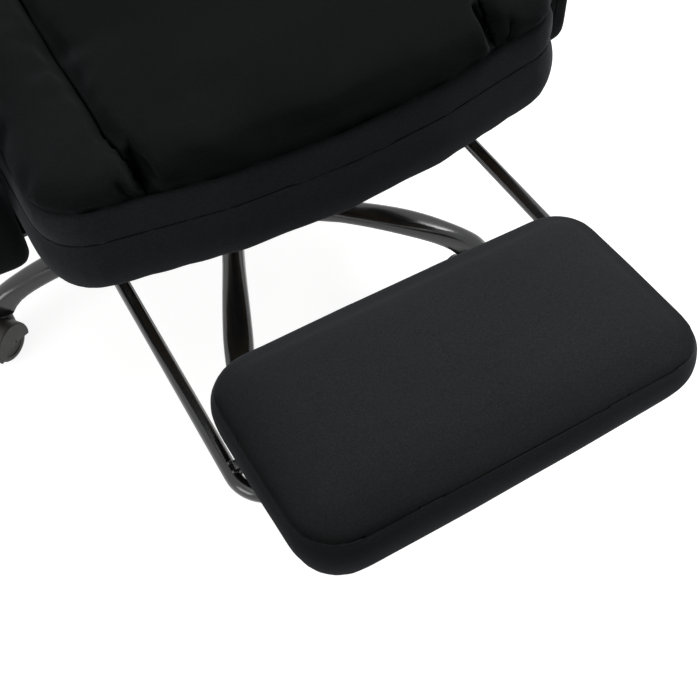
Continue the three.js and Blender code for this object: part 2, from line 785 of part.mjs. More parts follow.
function armPad() {
  const middleX = armInner + armThickness / 2;
  const plan = {
    halfX: armThickness / 2 + armPadLip,
    halfY: (armRear - armFront) / 2 - armCorner / 4,
    radius: armPadRadius,
    x: middleX,
    y: (armRear + armFront) / 2,
    cornerSteps: 3,
    edgeSteps: 3,
  };
  const side_shares = [[0, 0.17], [0.13, 0.03], [0.4, 0], [0.67, 0.07], [0.83, 0.27]];
  const levels = layers(armTop + touch, armPadThickness, side_shares);
  return cushion(plan, levels, armPadThickness / 6, 2);
}

function armBracket() {
  const top = seatBottom - touch;
  const flat = [top - bracketSheet, top];
  const outer = armInner - touch;
  const strips = [
    block([bracketInnerX, outer], [bracketFront, bracketFront + bracketStrip], flat),
    block([bracketInnerX, outer], [bracketRear - bracketStrip, bracketRear], flat),
  ];
  const upright = roundedPolygon([
    [bracketFront, flat[0]],
    [bracketRear, flat[0]],
    [bracketRear, bracketUpright],
    [bracketFront, bracketUpright],
  ], bracketSheet * 3);
  return join(...strips, plateAcrossX(upright, [outer - bracketSheet, outer]));
}

[['left', 1], ['right', -1]].forEach(([label, side]) => {
  const sided = (geometry) => (side > 0 ? geometry : mirrored(geometry));
  place(`armrest_${label}`, sided(armLoop()), velvet);
  place(`arm_pad_${label}`, sided(armPad()), velvet);
  place(`arm_bracket_${label}`, sided(armBracket()), steelBlack);
});

// Footrest: a welded tube frame in guide sleeves, and a pad that flips over on its cross tube
const railRearEnd = -66;
const guideFront = -160;
const guideRear = -76;
const guideWall = 1.6;
const guidePlateInner = railHalfSpan + railRadius + touch;
const guideFlange = 36;
const bendRadius = 36;
const barWidth = 10;
const barHeight = 9.4;
const barSetback = 35; // the cross tube's middle line to the front of the welded bar
const barFront = crossTubeY + barSetback;
const clipX = 95;
const clipWidth = 24;
const clipSheet = 2;
const clipEar = 24;
const padBoardThickness = 8;
const padBoardInset = 12;
const padCrown = 14;
const padCornerRadius = 44;
const padBow = 2;

function guideBracket() {
  const sleeveOuter = railRadius + touch + guideWall;
  const sleeve = rodAlongY(sleeveOuter, [guideFront, guideRear], 16).translate(railHalfSpan, 0, railHeight);
  const top = seatBottom - touch;
  const inner = guidePlateInner;
  const web = block([inner, inner + sheet], [guideFront, guideRear], [railHeight - sleeveOuter / 2, top]);
  const flange = block([inner, inner + guideFlange], [guideFront, guideRear], [top - sheet, top]);
  const bore = rodAlongY(railRadius + 2 * touch, [guideFront - overrun, guideRear + overrun], 16);
  const slotEdge = (top - railHeight) / 5;
  const slot = roundedPolygon([
    [guideFront + guideFlange / 2, railHeight + slotEdge],
    [guideRear - guideFlange / 2, railHeight + slotEdge],
    [guideRear - guideFlange / 2, top - slotEdge],
    [guideFront + guideFlange / 2, top - slotEdge],
  ], guideFlange / 6);
  const lightening = plateAcrossX(slot, [inner - overrun, inner + sheet + overrun]);
  return cut(join(sleeve, web, flange), bore.translate(railHalfSpan, 0, railHeight), lightening);
}
place('guide_bracket_left', guideBracket(), steelBlack);
place('guide_bracket_right', mirrored(guideBracket()), steelBlack);

function footrestFrame() {
  const stations = [];
  const bendSteps = 5;
  const bendMiddle = crossTubeY + bendRadius;
  stations.push(new THREE.Vector3(-railHalfSpan, railRearEnd, railHeight));
  [-1, 1].forEach((side) => {
    for (let i = 0; i <= bendSteps; i += 1) {
      const turn = side < 0 ? i / bendSteps : 1 - i / bendSteps;
      const angle = (Math.PI / 2) * turn;
      const x = side * (railHalfSpan - bendRadius + bendRadius * Math.cos(angle));
      stations.push(new THREE.Vector3(x, bendMiddle - bendRadius * Math.sin(angle), railHeight));
    }
  });
  stations.push(new THREE.Vector3(railHalfSpan, railRearEnd, railHeight));
  const tube = tubeThrough(stations, railRadius, 14);
  const collars = [-1, 1].map((side) => {
    const collar = rodAlongY(railRadius + guideWall, [guideRear + touch, railRearEnd], 14);
    return collar.translate(side * railHalfSpan, 0, railHeight);
  });
  const barZ = [padBottom - touch - barHeight, padBottom - touch];
  const barHalf = railHalfSpan - railRadius / 2;
  const bar = block([-barHalf, barHalf], [barFront, barFront + barWidth], barZ);
  return join(tube, ...collars, bar);
}
place('footrest_frame', footrestFrame(), glossBlack);

const padPlan = {
  halfX: padHalfWidth,
  halfY: padHalfDepth,
  radius: padCornerRadius,
  bowFront: padBow,
  bowRear: padBow,
  bowSide: padBow / 2,
  y: padMiddleY,
};
const padBoard = flatPanel(padPlan, padBoardInset, [padBottom, padBottom + padBoardThickness]);
place('footrest_board', padBoard, plywood);

function footrestCushion() {
  const low_shares = [[0, 0.5], [0.29, 0.21], [1, 0.04], [1.93, 0]];
  const seam_shares = [[-0.57, 0.04], [-0.11, 0.21], [0.11, 0.21], [0.36, 0.29]];
  const levels = [...layers(padBottom, padCrown, low_shares), ...layers(padSeam, padCrown, seam_shares)];
  const body = cushion(padPlan, levels, padCrown, 5);
  const pocketZ = [padBottom - overrun, padBottom + padBoardThickness + touch];
  return cut(body, flatPanel(padPlan, padBoardInset - touch, pocketZ));
}
place('footrest_cushion', footrestCushion(), velvet);

function footrestClip(middleX) {
  const inner = railRadius + touch;
  const outer = inner + clipSheet;
  const seat = padBottom - touch;
  const ear = [seat - clipSheet, seat];
  const x = [middleX - clipWidth / 2, middleX + clipWidth / 2];
  const saddle = rodAlongX(outer, x, 16).translate(0, crossTubeY, railHeight);
  const shoulders = block(x, [crossTubeY - outer, crossTubeY + outer], [railHeight, seat]);
  const ears = block(x, [crossTubeY - clipEar, crossTubeY + clipEar], ear);
  const far = [x[0] - overrun, x[1] + overrun];
  const bore = rodAlongX(inner, far, 16).translate(0, crossTubeY, railHeight);
  const mouth = block(far, [crossTubeY - inner, crossTubeY + inner], [railHeight, seat + overrun]);
  return cut(join(saddle, shoulders, ears), bore, mouth);
}
place('footrest_clip_left', footrestClip(clipX), steelBlack);
place('footrest_clip_right', footrestClip(-clipX), steelBlack);

// Recliner: side plates, cross shaft and release lever
const reclinerPlate = 4;
const fixedPlateInner = 236;
const reclinerRound = 24;
const shaftRadius = 6;
const fixedFootLength = 85; // the foot's reach under the seat
const fixedFootFront = seatRear - fixedFootLength;
const fixedFootBottom = 356;
const fixedFlange = 26;
const movingArmTop = 190;
const movingArmFront = -12;
const backBoardFront = 14;
const leverHubRadius = 13;
const reclineLeverX = 268;
const reclineLeverThickness = 10;
const reclineLeverLength = 78;
const plateRearGap = 8; // seat rear to the upright part of the fixed plate

function reclinerFixed() {
  const uprightFront = seatRear + plateRearGap;
  const shape = roundedPolygon([
    [fixedFootFront, fixedFootBottom],
    [hingeY + reclinerRound, fixedFootBottom],
    [hingeY + reclinerRound, hingeZ],
    [hingeY, hingeZ + reclinerRound],
    [uprightFront, hingeZ],
    [uprightFront, seatBottom - touch],
    [fixedFootFront, seatBottom - touch],
  ], 2 * reclinerPlate);
  const x = [fixedPlateInner, fixedPlateInner + reclinerPlate];
  const plate = plateAcrossX(shape, x);
  const disc = rodAlongX(reclinerRound, x, 20).translate(0, hingeY, hingeZ);
  const flangeZ = [seatBottom - touch - sheet, seatBottom - touch];
  const flangeX = [x[0] - fixedFlange, x[0] + reclinerPlate / 2];
  const flange = block(flangeX, [fixedFootFront, seatRear - plateRearGap], flangeZ);
  const far = [x[0] - overrun, x[1] + overrun];
  const bore = rodAlongX(shaftRadius + touch, far, 16).translate(0, hingeY, hingeZ);
  return cut(join(plate, disc, flange), bore);
}
place('recliner_fixed_left', reclinerFixed(), steelBlack);
place('recliner_fixed_right', mirrored(reclinerFixed()), steelBlack);

const shaftOuter = reclineLeverX + reclineLeverThickness;
const shaftSpan = [-shaftOuter, fixedPlateInner + 2 * reclinerPlate];
place('recline_shaft', rodAlongX(shaftRadius, shaftSpan, 16), steelBright).position.set(0, hingeY, hingeZ);

function reclineLever() {
  const x = [-reclineLeverX - reclineLeverThickness, -reclineLeverX];
  const hub = rodAlongX(leverHubRadius, x, 20);
  const rise = 0.35 * reclineLeverLength;
  const arm = roundedPolygon([
    [0, -leverHubRadius * 0.8],
    [0, leverHubRadius * 0.8],
    [-reclineLeverLength, rise + leverHubRadius * 0.7],
    [-reclineLeverLength, rise - leverHubRadius * 0.5],
  ], leverHubRadius * 0.45);
  const bore = rodAlongX(shaftRadius + touch, [x[0] - overrun, x[1] + overrun], 16);
  return cut(join(hub, plateAcrossX(arm, x, reclineLeverThickness / 5)), bore);
}
place('recline_lever', reclineLever(), plasticBlack).position.set(0, hingeY, hingeZ);

// Back: everything below is drawn upright from the recline axis, then leaned as one
const back = new THREE.Group();
back.position.set(0, hingeY, hingeZ);
back.rotation.x = -radians(backLean);
chair.add(back);

const backBottom = 14; // the back's lower edge above the recline axis
const backSlab = 44; // foam slab in front of the board
const backRear = backBoardFront + boardThickness;
const coverDepth = 20;
const pocketPlay = 3;
const backCornerRadius = 90;
const backSideBow = 6;
const backTopBow = 10;

function reclinerMoving() {
  const x = [fixedPlateInner - touch - reclinerPlate, fixedPlateInner - touch];
  const disc = rodAlongX(reclinerRound, x, 20);
  const arm = block(x, [movingArmFront, backBoardFront - touch], [0, movingArmTop]);
  const flangeY = [backBoardFront - touch - sheet, backBoardFront - touch];
  const flangeX = [x[0] - fixedFlange, x[0] + reclinerPlate / 2];
  const flange = block(flangeX, flangeY, [2 * backBottom, movingArmTop]);
  const bore = rodAlongX(shaftRadius + touch, [x[0] - overrun, x[1] + overrun], 16);
  return cut(join(disc, arm, flange), bore);
}
place('recliner_moving_left', reclinerMoving(), steelBlack, back);
place('recliner_moving_right', mirrored(reclinerMoving()), steelBlack, back);

const backPlan = {
  halfX: backHalfWidth,
  halfY: (backHeight - backBottom) / 2,
  radius: backCornerRadius,
  bowSide: backSideBow,
  bowRear: backTopBow,
  y: (backHeight + backBottom) / 2,
};

function backBoard() {
  return standUp(flatPanel(backPlan, 2 * boardInset, [-backRear, -backBoardFront]));
}
place('back_board', backBoard(), plywood, back);

function backCushion() {
  const rear = -backBoardFront + touch;
  const side_shares = [[0, 0.14], [0.14, 0.05], [0.5, 0], [0.82, 0.07], [1, 0.27]];
  const levels = layers(rear, backSlab, side_shares);
  const slab = standUp(loft(levels.map(([z, inset]) => roundedRing(backPlan, inset, z))));
  const plateX = [fixedPlateInner - touch - reclinerPlate - pocketPlay, fixedPlateInner + pocketPlay];
  const pocketTop = movingArmTop + pocketPlay;
  const pockets = [-1, 1].flatMap((side) => {
    const span = (x) => (side > 0 ? x : [-x[1], -x[0]]);
    const armY = [movingArmFront - pocketPlay, backBoardFront + overrun];
    const flangeX = [plateX[0] - fixedFlange, plateX[1]];
    const flangeY = [backBoardFront - sheet - pocketPlay, backBoardFront + overrun];
    const disc = rodAlongX(reclinerRound + pocketPlay, span(plateX), 16);
    return [
      block(span(plateX), armY, [-reclinerRound, pocketTop]),
      block(span(flangeX), flangeY, [-reclinerRound, pocketTop]),
      disc,
    ];
  });
  return cut(slab, ...pockets);
}
place('back_cushion', backCushion(), velvet, back);

function backCover() {
  const rear = -backRear - coverDepth;
  const front = -backBoardFront;
  const side_shares = [[0, 1.3], [0.3, 0.5], [0.8, 0.1]];
  const levels = [...layers(rear, coverDepth, side_shares), [front, coverDepth / 5]];
  const shell = loft(levels.map(([z, inset]) => roundedRing(backPlan, inset, z)));
  const pocket = flatPanel(backPlan, 2 * boardInset - touch, [-backRear - touch, front + overrun]);
  return standUp(cut(shell, pocket));
}
place('back_cover', backCover(), velvet, back);

// Three plush pillows on the front of the back, from the waist to the head
const slabFront = backSlab - backBoardFront + touch; // where the slab ends and the pillows begin
const pillowGap = 6;
const edge_shares = [0.133, 0.439, 0.739, 0.972]; // pillow edges on the way up the back
const [lumbarLow, lumbarTop, upperTop, headTop] = edge_shares.map((share) => share * backHeight);
const pillowHalfWidth = 222;
const headHalfWidth = 196;
const pillowDepth = 22;
const lumbarCrown = 36;
const upperCrown = 30;
const headCrown = 34;
const pillowRadius = 56;
const pillowBow = 5;
const pillows = [
  ['lumbar_pillow', lumbarLow, lumbarTop, pillowHalfWidth, lumbarCrown],
  ['upper_pillow', lumbarTop + pillowGap, upperTop, pillowHalfWidth, upperCrown],
  ['headrest_pillow', upperTop + pillowGap, headTop, headHalfWidth, headCrown],
];
const backChannelX = 140;

function backPillow(low, high, half, crown) {
  const plan = {
    halfX: half,
    halfY: (high - low) / 2,
    radius: pillowRadius,
    bowSide: pillowBow,
    bowFront: pillowBow / 2,
    bowRear: pillowBow / 2,
    y: (high + low) / 2,
    cornerSteps: 4,
  };
  const rear = slabFront + touch;
  const side_shares = [[0, 0.32], [0.23, 0.1], [0.5, 0], [1, 0.45]];
  const levels = layers(rear, pillowDepth, side_shares);
  const body = cushion(plan, levels, crown, 4);
  if (high >= headTop) {
    return standUp(body);
  }
  const top = rear + pillowDepth + crown;
  const grooves = [-1, 1].map((side) => sewnChannel([
    new THREE.Vector3(side * backChannelX, low - channelRadius, rear + pillowDepth / 2),
    new THREE.Vector3(side * backChannelX, low + 2 * channelRadius, top - crown / 3),
    new THREE.Vector3(side * backChannelX, (low + high) / 2, top + channelRadius / 4),
    new THREE.Vector3(side * backChannelX, high - 2 * channelRadius, top - crown / 3),
    new THREE.Vector3(side * backChannelX, high + channelRadius, rear + pillowDepth / 2),
  ], channelRadius));
  return standUp(cut(body, ...grooves));
}
pillows.forEach(([name, ...edges]) => {
  place(name, backPillow(...edges), velvet, back);
});

// The origin: the floor under the middle of the whole chair
chair.updateMatrixWorld(true);
const middle = new THREE.Box3().setFromObject(chair, true).getCenter(new THREE.Vector3());
chair.position.set(-middle.x, -middle.y, 0);

export default chair;
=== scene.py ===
import json
from math import asin, atan2, cos, pi, radians, sin, sqrt, tan

import bmesh
import bpy
import numpy as np
from bmesh.types import BMEdge, BMFace, BMVert
from bpy.props import FloatProperty, FloatVectorProperty, IntProperty, PointerProperty
from mathutils import Matrix, Vector, noise


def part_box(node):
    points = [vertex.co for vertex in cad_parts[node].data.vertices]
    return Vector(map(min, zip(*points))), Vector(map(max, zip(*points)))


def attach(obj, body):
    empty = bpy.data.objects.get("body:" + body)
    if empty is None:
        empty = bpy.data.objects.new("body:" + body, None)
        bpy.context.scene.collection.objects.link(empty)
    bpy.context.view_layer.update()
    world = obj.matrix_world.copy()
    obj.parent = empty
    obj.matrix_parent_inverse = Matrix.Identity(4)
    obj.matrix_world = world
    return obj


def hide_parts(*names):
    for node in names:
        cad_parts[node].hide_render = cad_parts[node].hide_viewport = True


bl_info = {
    "name": "Reclining Office Chair",
    "version": (1, 0, 0),
    "blender": (4, 5, 0),
    "location": "3D View > Sidebar > Chair",
    "description": "Dresses the packed office chair and its footrest with upholstery, paint and fittings",
    "category": "Object",
}

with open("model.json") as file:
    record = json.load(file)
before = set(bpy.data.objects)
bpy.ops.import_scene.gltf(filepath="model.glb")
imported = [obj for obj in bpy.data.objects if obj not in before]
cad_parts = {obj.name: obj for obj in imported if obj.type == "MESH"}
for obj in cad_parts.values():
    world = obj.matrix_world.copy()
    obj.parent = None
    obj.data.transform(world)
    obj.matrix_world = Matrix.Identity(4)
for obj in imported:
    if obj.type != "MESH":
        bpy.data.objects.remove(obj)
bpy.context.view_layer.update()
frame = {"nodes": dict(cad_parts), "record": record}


def centre(node):
    return sum(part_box(node), Vector()) / 2


COLUMN = centre("gas_cylinder")
FOOT = Vector((COLUMN.x, COLUMN.y, 0))
HINGE = centre("recline_shaft")


def mm(*pairs):
    """Pairs of millimetres as metres."""
    return [(a / 1000, b / 1000) for a, b in pairs]


# Settings
def swatch(name, description, default):
    return FloatVectorProperty(
        name=name, description=description, subtype="COLOR", size=3, min=0, max=1, default=default)


def number(name, description, default, **limits):
    return FloatProperty(name=name, description=description, default=default, **limits)


def length(name, description, default, least=0.0):
    return number(name, description, default, unit="LENGTH", min=least)


class UpholsterySettings(bpy.types.PropertyGroup):
    pile_colour: swatch("Pile colour", "Colour of the velvet pile", (0.0200, 0.0208, 0.0226))
    # Dark end of the velvet colour: the pile's darker tone, and painted shade on sides and shoulders; a
    # tenth of it is the painted shade in seams and clefts
    dark_tone_and_shade_colour: swatch(
        "Brushed colour", "Colour where the pile is brushed the other way", (0.0042, 0.0050, 0.0047))
    seam_depth: length("Seam depth", "How far a seam pulls into the padding", 0.0022)
    seam_width: length("Seam width", "Half the width of the pinch at a seam", 0.0014, 0.0005)
    fill_pressure: number("Fill", "Pressure that swells the padding", 20.0, min=0, max=60)
    slack: number("Slack", "Share by which the cloth is cut larger than its padding", 0.05, min=0, max=0.2)
    stitch_length: length("Stitch length", "Length of one stitch and its gap", 0.0075, 0.001)
    ply_colour: swatch("Plywood colour", "Colour of the bare boards", (0.36, 0.235, 0.13))


class MetalSettings(bpy.types.PropertyGroup):
    gloss_colour: swatch("Gloss paint", "Colour of the base and footrest tube", (0.009, 0.0095, 0.010))
    gloss_roughness: number(
        "Gloss roughness", "Roughness of the gloss paint", 0.2, subtype="FACTOR", min=0, max=1)
    satin_colour: swatch("Satin paint", "Colour of brackets and plates", (0.022, 0.022, 0.024))
    bright_colour: swatch("Bright steel", "Colour of pins, shafts and springs", (0.55, 0.56, 0.57))
    tube_sides: IntProperty(
        name="Tube sides", description="Sides of the footrest tube", min=12, max=64, default=28)
    weld_radius: length("Weld ripple", "Radius of one ripple of a weld bead", 0.0021, 0.0005)


class PlasticSettings(bpy.types.PropertyGroup):
    black_colour: swatch("Black plastic", "Colour of covers, knob and levers", (0.014, 0.014, 0.015))
    castor_colour: swatch("Castor nylon", "Colour of the castor hoods and wheels", (0.019, 0.0173, 0.016))


class StageSettings(bpy.types.PropertyGroup):
    camera_place: FloatVectorProperty(
        name="Camera place", description="Where the camera stands, from the foot of the column",
        subtype="TRANSLATION", unit="LENGTH", size=3, default=(-0.29869, -0.96126, 1.08317))
    azimuth: number("Azimuth", "Camera's turn round the chair, in degrees", -24.950)
    elevation: number("Elevation", "Camera's height above the horizon, in degrees", 52.915)
    roll: number("Roll", "Camera's roll, in degrees", -5.376)
    lens: number("Lens", "Focal length on a 36 mm sensor, in millimetres", 55.372, min=1)
    key_power: number("Key light", "Power of the softbox behind the chair, in watts", 60, min=0)
    top_power: number("Top light", "Power of the overhead softbox, in watts", 14, min=0)
    side_power: number("Side light", "Power of the softbox on the left, in watts", 22, min=0)
    sky: number("Sky", "Strength of the even light from all round", 0.26, min=0)


# Shader helpers
def wire(tree, value, target):
    """Links a socket to a target, or gives the target a plain value."""
    if isinstance(value, bpy.types.NodeSocket):
        tree.links.new(value, target)
    else:
        target.default_value = value


def fed(tree, node, **values):
    """Sets a node's properties and sockets by name; an underscore in a name stands for a space."""
    for name, value in values.items():
        if hasattr(node, name):
            setattr(node, name, value)
        else:
            wire(tree, value, node.inputs[name.replace("_", " ")])
    return node


def add(tree, kind, **values):
    """A new shader node of a kind, with its properties and sockets set."""
    return fed(tree, tree.nodes.new("ShaderNode" + kind), **values)


def maths(tree, operation, a, b, clamp=False):
    """The result of a sum on two numbers or sockets."""
    node = add(tree, "Math", operation=operation, use_clamp=clamp)
    for value, target in zip((a, b), node.inputs):
        wire(tree, value, target)
    return node.outputs[0]


def ranged(tree, factor, low, high, least=0.0, most=1.0):
    """A factor between two numbers stretched to lie between two others."""
    span = add(tree, "MapRange", Value=factor, From_Min=least, From_Max=most, To_Min=low,
               To_Max=high)
    return span.outputs[0]


def blended(tree, factor, low, high, blend="MIX"):
    """Two colours, or the sockets that give them, mixed by a factor."""
    mix = add(tree, "Mix", data_type="RGBA", blend_type=blend)
    for place, value in ((0, factor), (6, low), (7, high)):
        wire(tree, value, mix.inputs[place])
    return mix.outputs[2]


def attribute(tree, name):
    return add(tree, "Attribute", attribute_name=name).outputs["Fac"]


def shared(name, inputs, outputs, build):
    """A node group with named float inputs and outputs, built once."""
    if name in bpy.data.node_groups:
        return bpy.data.node_groups[name]
    tree = bpy.data.node_groups.new(name, "ShaderNodeTree")
    tree.interface.new_socket("Vector", in_out="INPUT", socket_type="NodeSocketVector")
    for label, value in inputs.items():
        made = tree.interface.new_socket(label, in_out="INPUT", socket_type="NodeSocketFloat")
        made.default_value = value
    for label in outputs:
        tree.interface.new_socket(label, in_out="OUTPUT", socket_type="NodeSocketFloat")
    results = build(tree, *tree.nodes.new("NodeGroupInput").outputs[:len(inputs) + 1])
    fed(tree, tree.nodes.new("NodeGroupOutput"), **dict(zip(outputs, results)))
    return tree


def mottling():
    """Broad soft patches, from 0 to 1, at a scale in patches per metre."""
    def build(tree, where, scale, contrast):
        cloud = add(tree, "TexNoise", Vector=where, Scale=scale, Detail=4.0, Roughness=0.55)
        centred = maths(tree, "SUBTRACT", cloud.outputs["Fac"], 0.5)
        return [maths(tree, "ADD", maths(tree, "MULTIPLY", centred, contrast), 0.5, True)]
    return shared("Mottling", {"Scale": 12.0, "Contrast": 1.0}, ["Patches"], build)


def moulded_grain():
    """Fine pits and bumps of moulded plastic or powder paint, as a height and a mask."""
    def build(tree, where, scale, depth):
        cells = add(tree, "TexVoronoi", Vector=where, Scale=scale, Randomness=1.0)
        dust = add(tree, "TexNoise", Vector=where, Scale=scale, Detail=3.0, Roughness=0.6)
        both = maths(tree, "MULTIPLY", cells.outputs["Distance"], dust.outputs["Fac"])
        return [maths(tree, "MULTIPLY", both, depth), dust.outputs["Fac"]]
    return shared("Moulded Grain", {"Scale": 900.0, "Depth": 1.0}, ["Height", "Mask"], build)


def patched(tree, where, scale, contrast=1.0):
    return add(tree, "Group", node_tree=mottling(), Vector=where, Scale=scale,
               Contrast=contrast).outputs["Patches"]


def grained(tree, where, scale):
    return add(tree, "Group", node_tree=moulded_grain(), Vector=where, Scale=scale).outputs


def noisy(tree, where, scale, detail, rough, **more):
    return add(tree, "TexNoise", Vector=where, Scale=scale, Detail=detail, Roughness=rough,
               **more).outputs["Fac"]


def stretched(tree, where, scale):
    return add(tree, "Mapping", Vector=where, Scale=scale).outputs[0]


def bumped(tree, height, distance, strength):
    return add(tree, "Bump", Height=height, Strength=strength, Distance=distance).outputs[0]


def shade(colour, share):
    return (*(min(c * share, 1.0) for c in colour), 1)


def varied(tree, shader, colour, tints, factor, polish, height, relief, **more):
    """Colour and roughness that change with a factor, and a bump from a height."""
    fed(tree, shader, Base_Color=blended(tree, factor, *(shade(colour, tint) for tint in tints)),
        Roughness=ranged(tree, factor, *polish), Normal=bumped(tree, height, *relief), **more)


def velvet(tree, shader, where):
    cloth = bpy.context.scene.chair_upholstery
    drift = ranged(tree, patched(tree, where, 9.0, 1.5), -0.12, 0.12)
    # The pile's dark tone and painted shade, from a value at each point, with random patches of tone added
    tone_and_shade_level = maths(tree, "ADD", attribute(tree, "tone_and_shade"), drift, True)
    toned_and_shaded = blended(tree, tone_and_shade_level, shade(cloth.pile_colour, 1), shade(cloth.dark_tone_and_shade_colour, 1))
    tufts = noisy(tree, where, 620.0, 3.0, 0.7)
    flecked = blended(tree, 1.0, toned_and_shaded, ranged(tree, tufts, 0.72, 1.3, 0.3, 0.7), "MULTIPLY")
    # Painted shade in seams, clefts and furrows: the colour goes nearly black there, and sheen and
    # specular are turned off
    seam = attribute(tree, "seam")
    closed = ranged(tree, seam, 1.0, 0.0)
    fed(tree, shader,
        Base_Color=blended(tree, seam, flecked, shade(cloth.dark_tone_and_shade_colour, 0.1)),
        Sheen_Weight=maths(tree, "MULTIPLY", ranged(tree, tone_and_shade_level, 0.16, 0.05), closed),
        Specular_IOR_Level=maths(tree, "MULTIPLY", closed, 0.04),
        Roughness=0.92, Sheen_Roughness=0.42, Sheen_Tint=(0.75, 0.78, 0.85, 1),
        Normal=bumped(tree, tufts, 0.0005, 0.55))


def plywood(tree, shader, where):
    colour = bpy.context.scene.chair_upholstery.ply_colour
    grain = noisy(tree, stretched(tree, where, (3, 34, 600)), 3.0, 6.0, 0.65, Distortion=0.6)
    varied(tree, shader, colour, (0.55, 1.3), grain, (0.62, 0.85), grain, (0.0005, 0.4))


def gloss_paint(tree, shader, where):
    metal = bpy.context.scene.chair_metal
    peel = patched(tree, where, 160.0)
    polish = metal.gloss_roughness * 0.8, metal.gloss_roughness * 1.25
    varied(tree, shader, metal.gloss_colour, (0.8, 1.3), peel, polish, peel, (0.00025, 0.35),
           Coat_Weight=0.35, Coat_Roughness=0.12)


def satin_paint(tree, shader, where):
    colour = bpy.context.scene.chair_metal.satin_colour
    grain = grained(tree, where, 1100.0)
    varied(tree, shader, colour, (0.75, 1.3), grain["Mask"], (0.36, 0.55), grain["Height"], (0.0003, 0.5))


def bright_steel(tree, shader, where):
    colour = bpy.context.scene.chair_metal.bright_colour
    lines = noisy(tree, stretched(tree, where, (40, 40, 900)), 6.0, 4.0, 0.6)
    varied(tree, shader, colour, (0.82, 1.15), lines, (0.2, 0.42), lines, (0.0001, 0.4), Metallic=1.0)


def moulded(tree, shader, where, colour, scale, polish):
    scuffs = patched(tree, where, 55.0, 1.6)
    height = grained(tree, where, scale)["Height"]
    varied(tree, shader, colour, (0.78, 1.25), scuffs, polish, height, (0.0004, 0.6))


def black_plastic(tree, shader, where):
    moulded(tree, shader, where, bpy.context.scene.chair_plastic.black_colour, 1500.0, (0.42, 0.58))


def castor_nylon(tree, shader, where):
    moulded(tree, shader, where, bpy.context.scene.chair_plastic.castor_colour, 700.0, (0.38, 0.6))


FINISHES = {
    "velvet": ("Black velvet", velvet),
    "plywood": ("Bare plywood", plywood),
    "gloss_steel": ("Gloss black paint", gloss_paint),
    "black_steel": ("Satin black paint", satin_paint),
    "bright_steel": ("Bright steel", bright_steel),
    "black_plastic": ("Black plastic", black_plastic),
    "castor_nylon": ("Castor nylon", castor_nylon),
}


def finish_for(slot):
    """The material of one of the record's slots, made once, in the object's own coordinates."""
    name, build = FINISHES[slot]
    material = bpy.data.materials.get(name)
    if material is None:
        material = bpy.data.materials.new(name)
        material.use_nodes = True
        tree = material.node_tree
        build(tree, tree.nodes["Principled BSDF"], add(tree, "TexCoord").outputs["Object"])
    return material


# Piece helpers
MERGE = 0.00002
EDGE = 0.0004
SOFT_EDGE = 0.0012
SIM_FRAMES = 20


def tuned(target, **values):
    for name, value in values.items():
        setattr(target, name, value)
    return target


def modified(obj, name, kind, **values):
    return tuned(obj.modifiers.new(name, kind), **values)


def linked(name, data):
    """A new object in the scene."""
    obj = bpy.data.objects.new(name, data)
    bpy.context.scene.collection.objects.link(obj)
    return obj


def mesh_from(name, bm):
    mesh = bpy.data.meshes.new(name)
    bm.to_mesh(mesh)
    bm.free()
    return mesh


def piece(name, bm, body, slot, nodes=(), angle=40):
    """A finished piece from a bmesh, shaded smooth up to an angle in degrees."""
    return settled(name, mesh_from(name, bm), body, slot, nodes, angle)


def settled(name, mesh, body, slot, nodes=(), angle=180):
    """A finished piece from a mesh: its finish, its body, and the solids that it stands for."""
    mesh.shade_smooth()
    if angle < 180:
        mesh.set_sharp_from_angle(angle=radians(angle))
    mesh.materials.clear()
    mesh.materials.append(finish_for(slot))
    obj = linked(name, mesh)
    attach(obj, body)
    if nodes:
        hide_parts(*nodes)
    return obj


def upholstered(name, mesh, body, node):
    """A velvet cover with its padding, in place of a soft solid."""
    settled(name, mesh, body, "velvet", [node])


def dress(node, edge=EDGE):
    """A finish and soft edges on a node that keeps its own mesh."""
    obj = frame["nodes"][node]
    slot = next(s["material_slot"] for s in frame["record"]["subparts"] if s["node"] == node)
    obj.data.materials.clear()
    obj.data.materials.append(finish_for(slot))
    obj.data.shade_smooth()
    modified(obj, "Weld", "WELD", merge_threshold=MERGE)
    modified(obj, "Edges", "BEVEL", width=edge, segments=2, limit_method="ANGLE",
             angle_limit=radians(38), harden_normals=True)
    modified(obj, "Shading", "WEIGHTED_NORMAL", keep_sharp=True)


def evaluated(obj):
    """The object's mesh with its modifiers applied."""
    bpy.context.view_layer.update()
    graph = bpy.context.evaluated_depsgraph_get()
    return bpy.data.meshes.new_from_object(obj.evaluated_get(graph))


def triples(items, name):
    co = np.zeros(len(items) * 3, np.float32)
    items.foreach_get(name, co)
    return co.reshape(-1, 3).astype(float)


def points_of(mesh):
    return triples(mesh.vertices, "co")


def normals_of(mesh):
    return triples(mesh.vertex_normals, "vector")


def ramp(values, start, span):
    """Rises from 0 to 1 over a span; a negative span makes it fall."""
    return np.clip((values - start) / span, 0, 1)


def bell(distance, width):
    """1 on a line, and falling off to nothing over a width on either side."""
    return np.exp(-(distance / width) ** 2)


def set_points(mesh, co):
    mesh.vertices.foreach_set("co", co.astype(np.float32).ravel())
    mesh.update()


def swapped(obj, mesh):
    """Gives an object a new mesh, and clears its modifiers."""
    old = obj.data
    obj.modifiers.clear()
    obj.data = mesh
    bpy.data.meshes.remove(old)


def calmed(mesh, moved, passes, held):
    """Averages a movement with its neighbours', so that its broad shape stays and its ripples go."""
    ends = np.zeros(len(mesh.edges) * 2, np.int32)
    mesh.edges.foreach_get("vertices", ends)
    a, b = ends[::2], ends[1::2]
    total = len(moved)
    links = np.maximum(np.bincount(ends, minlength=total), 1)[:, None]
    for _ in range(passes):
        pulled = np.column_stack([
            np.bincount(a, moved[b, k], total) + np.bincount(b, moved[a, k], total) for k in range(3)])
        moved = 0.5 * moved + 0.5 * pulled / links
        moved[held] = 0
    return moved


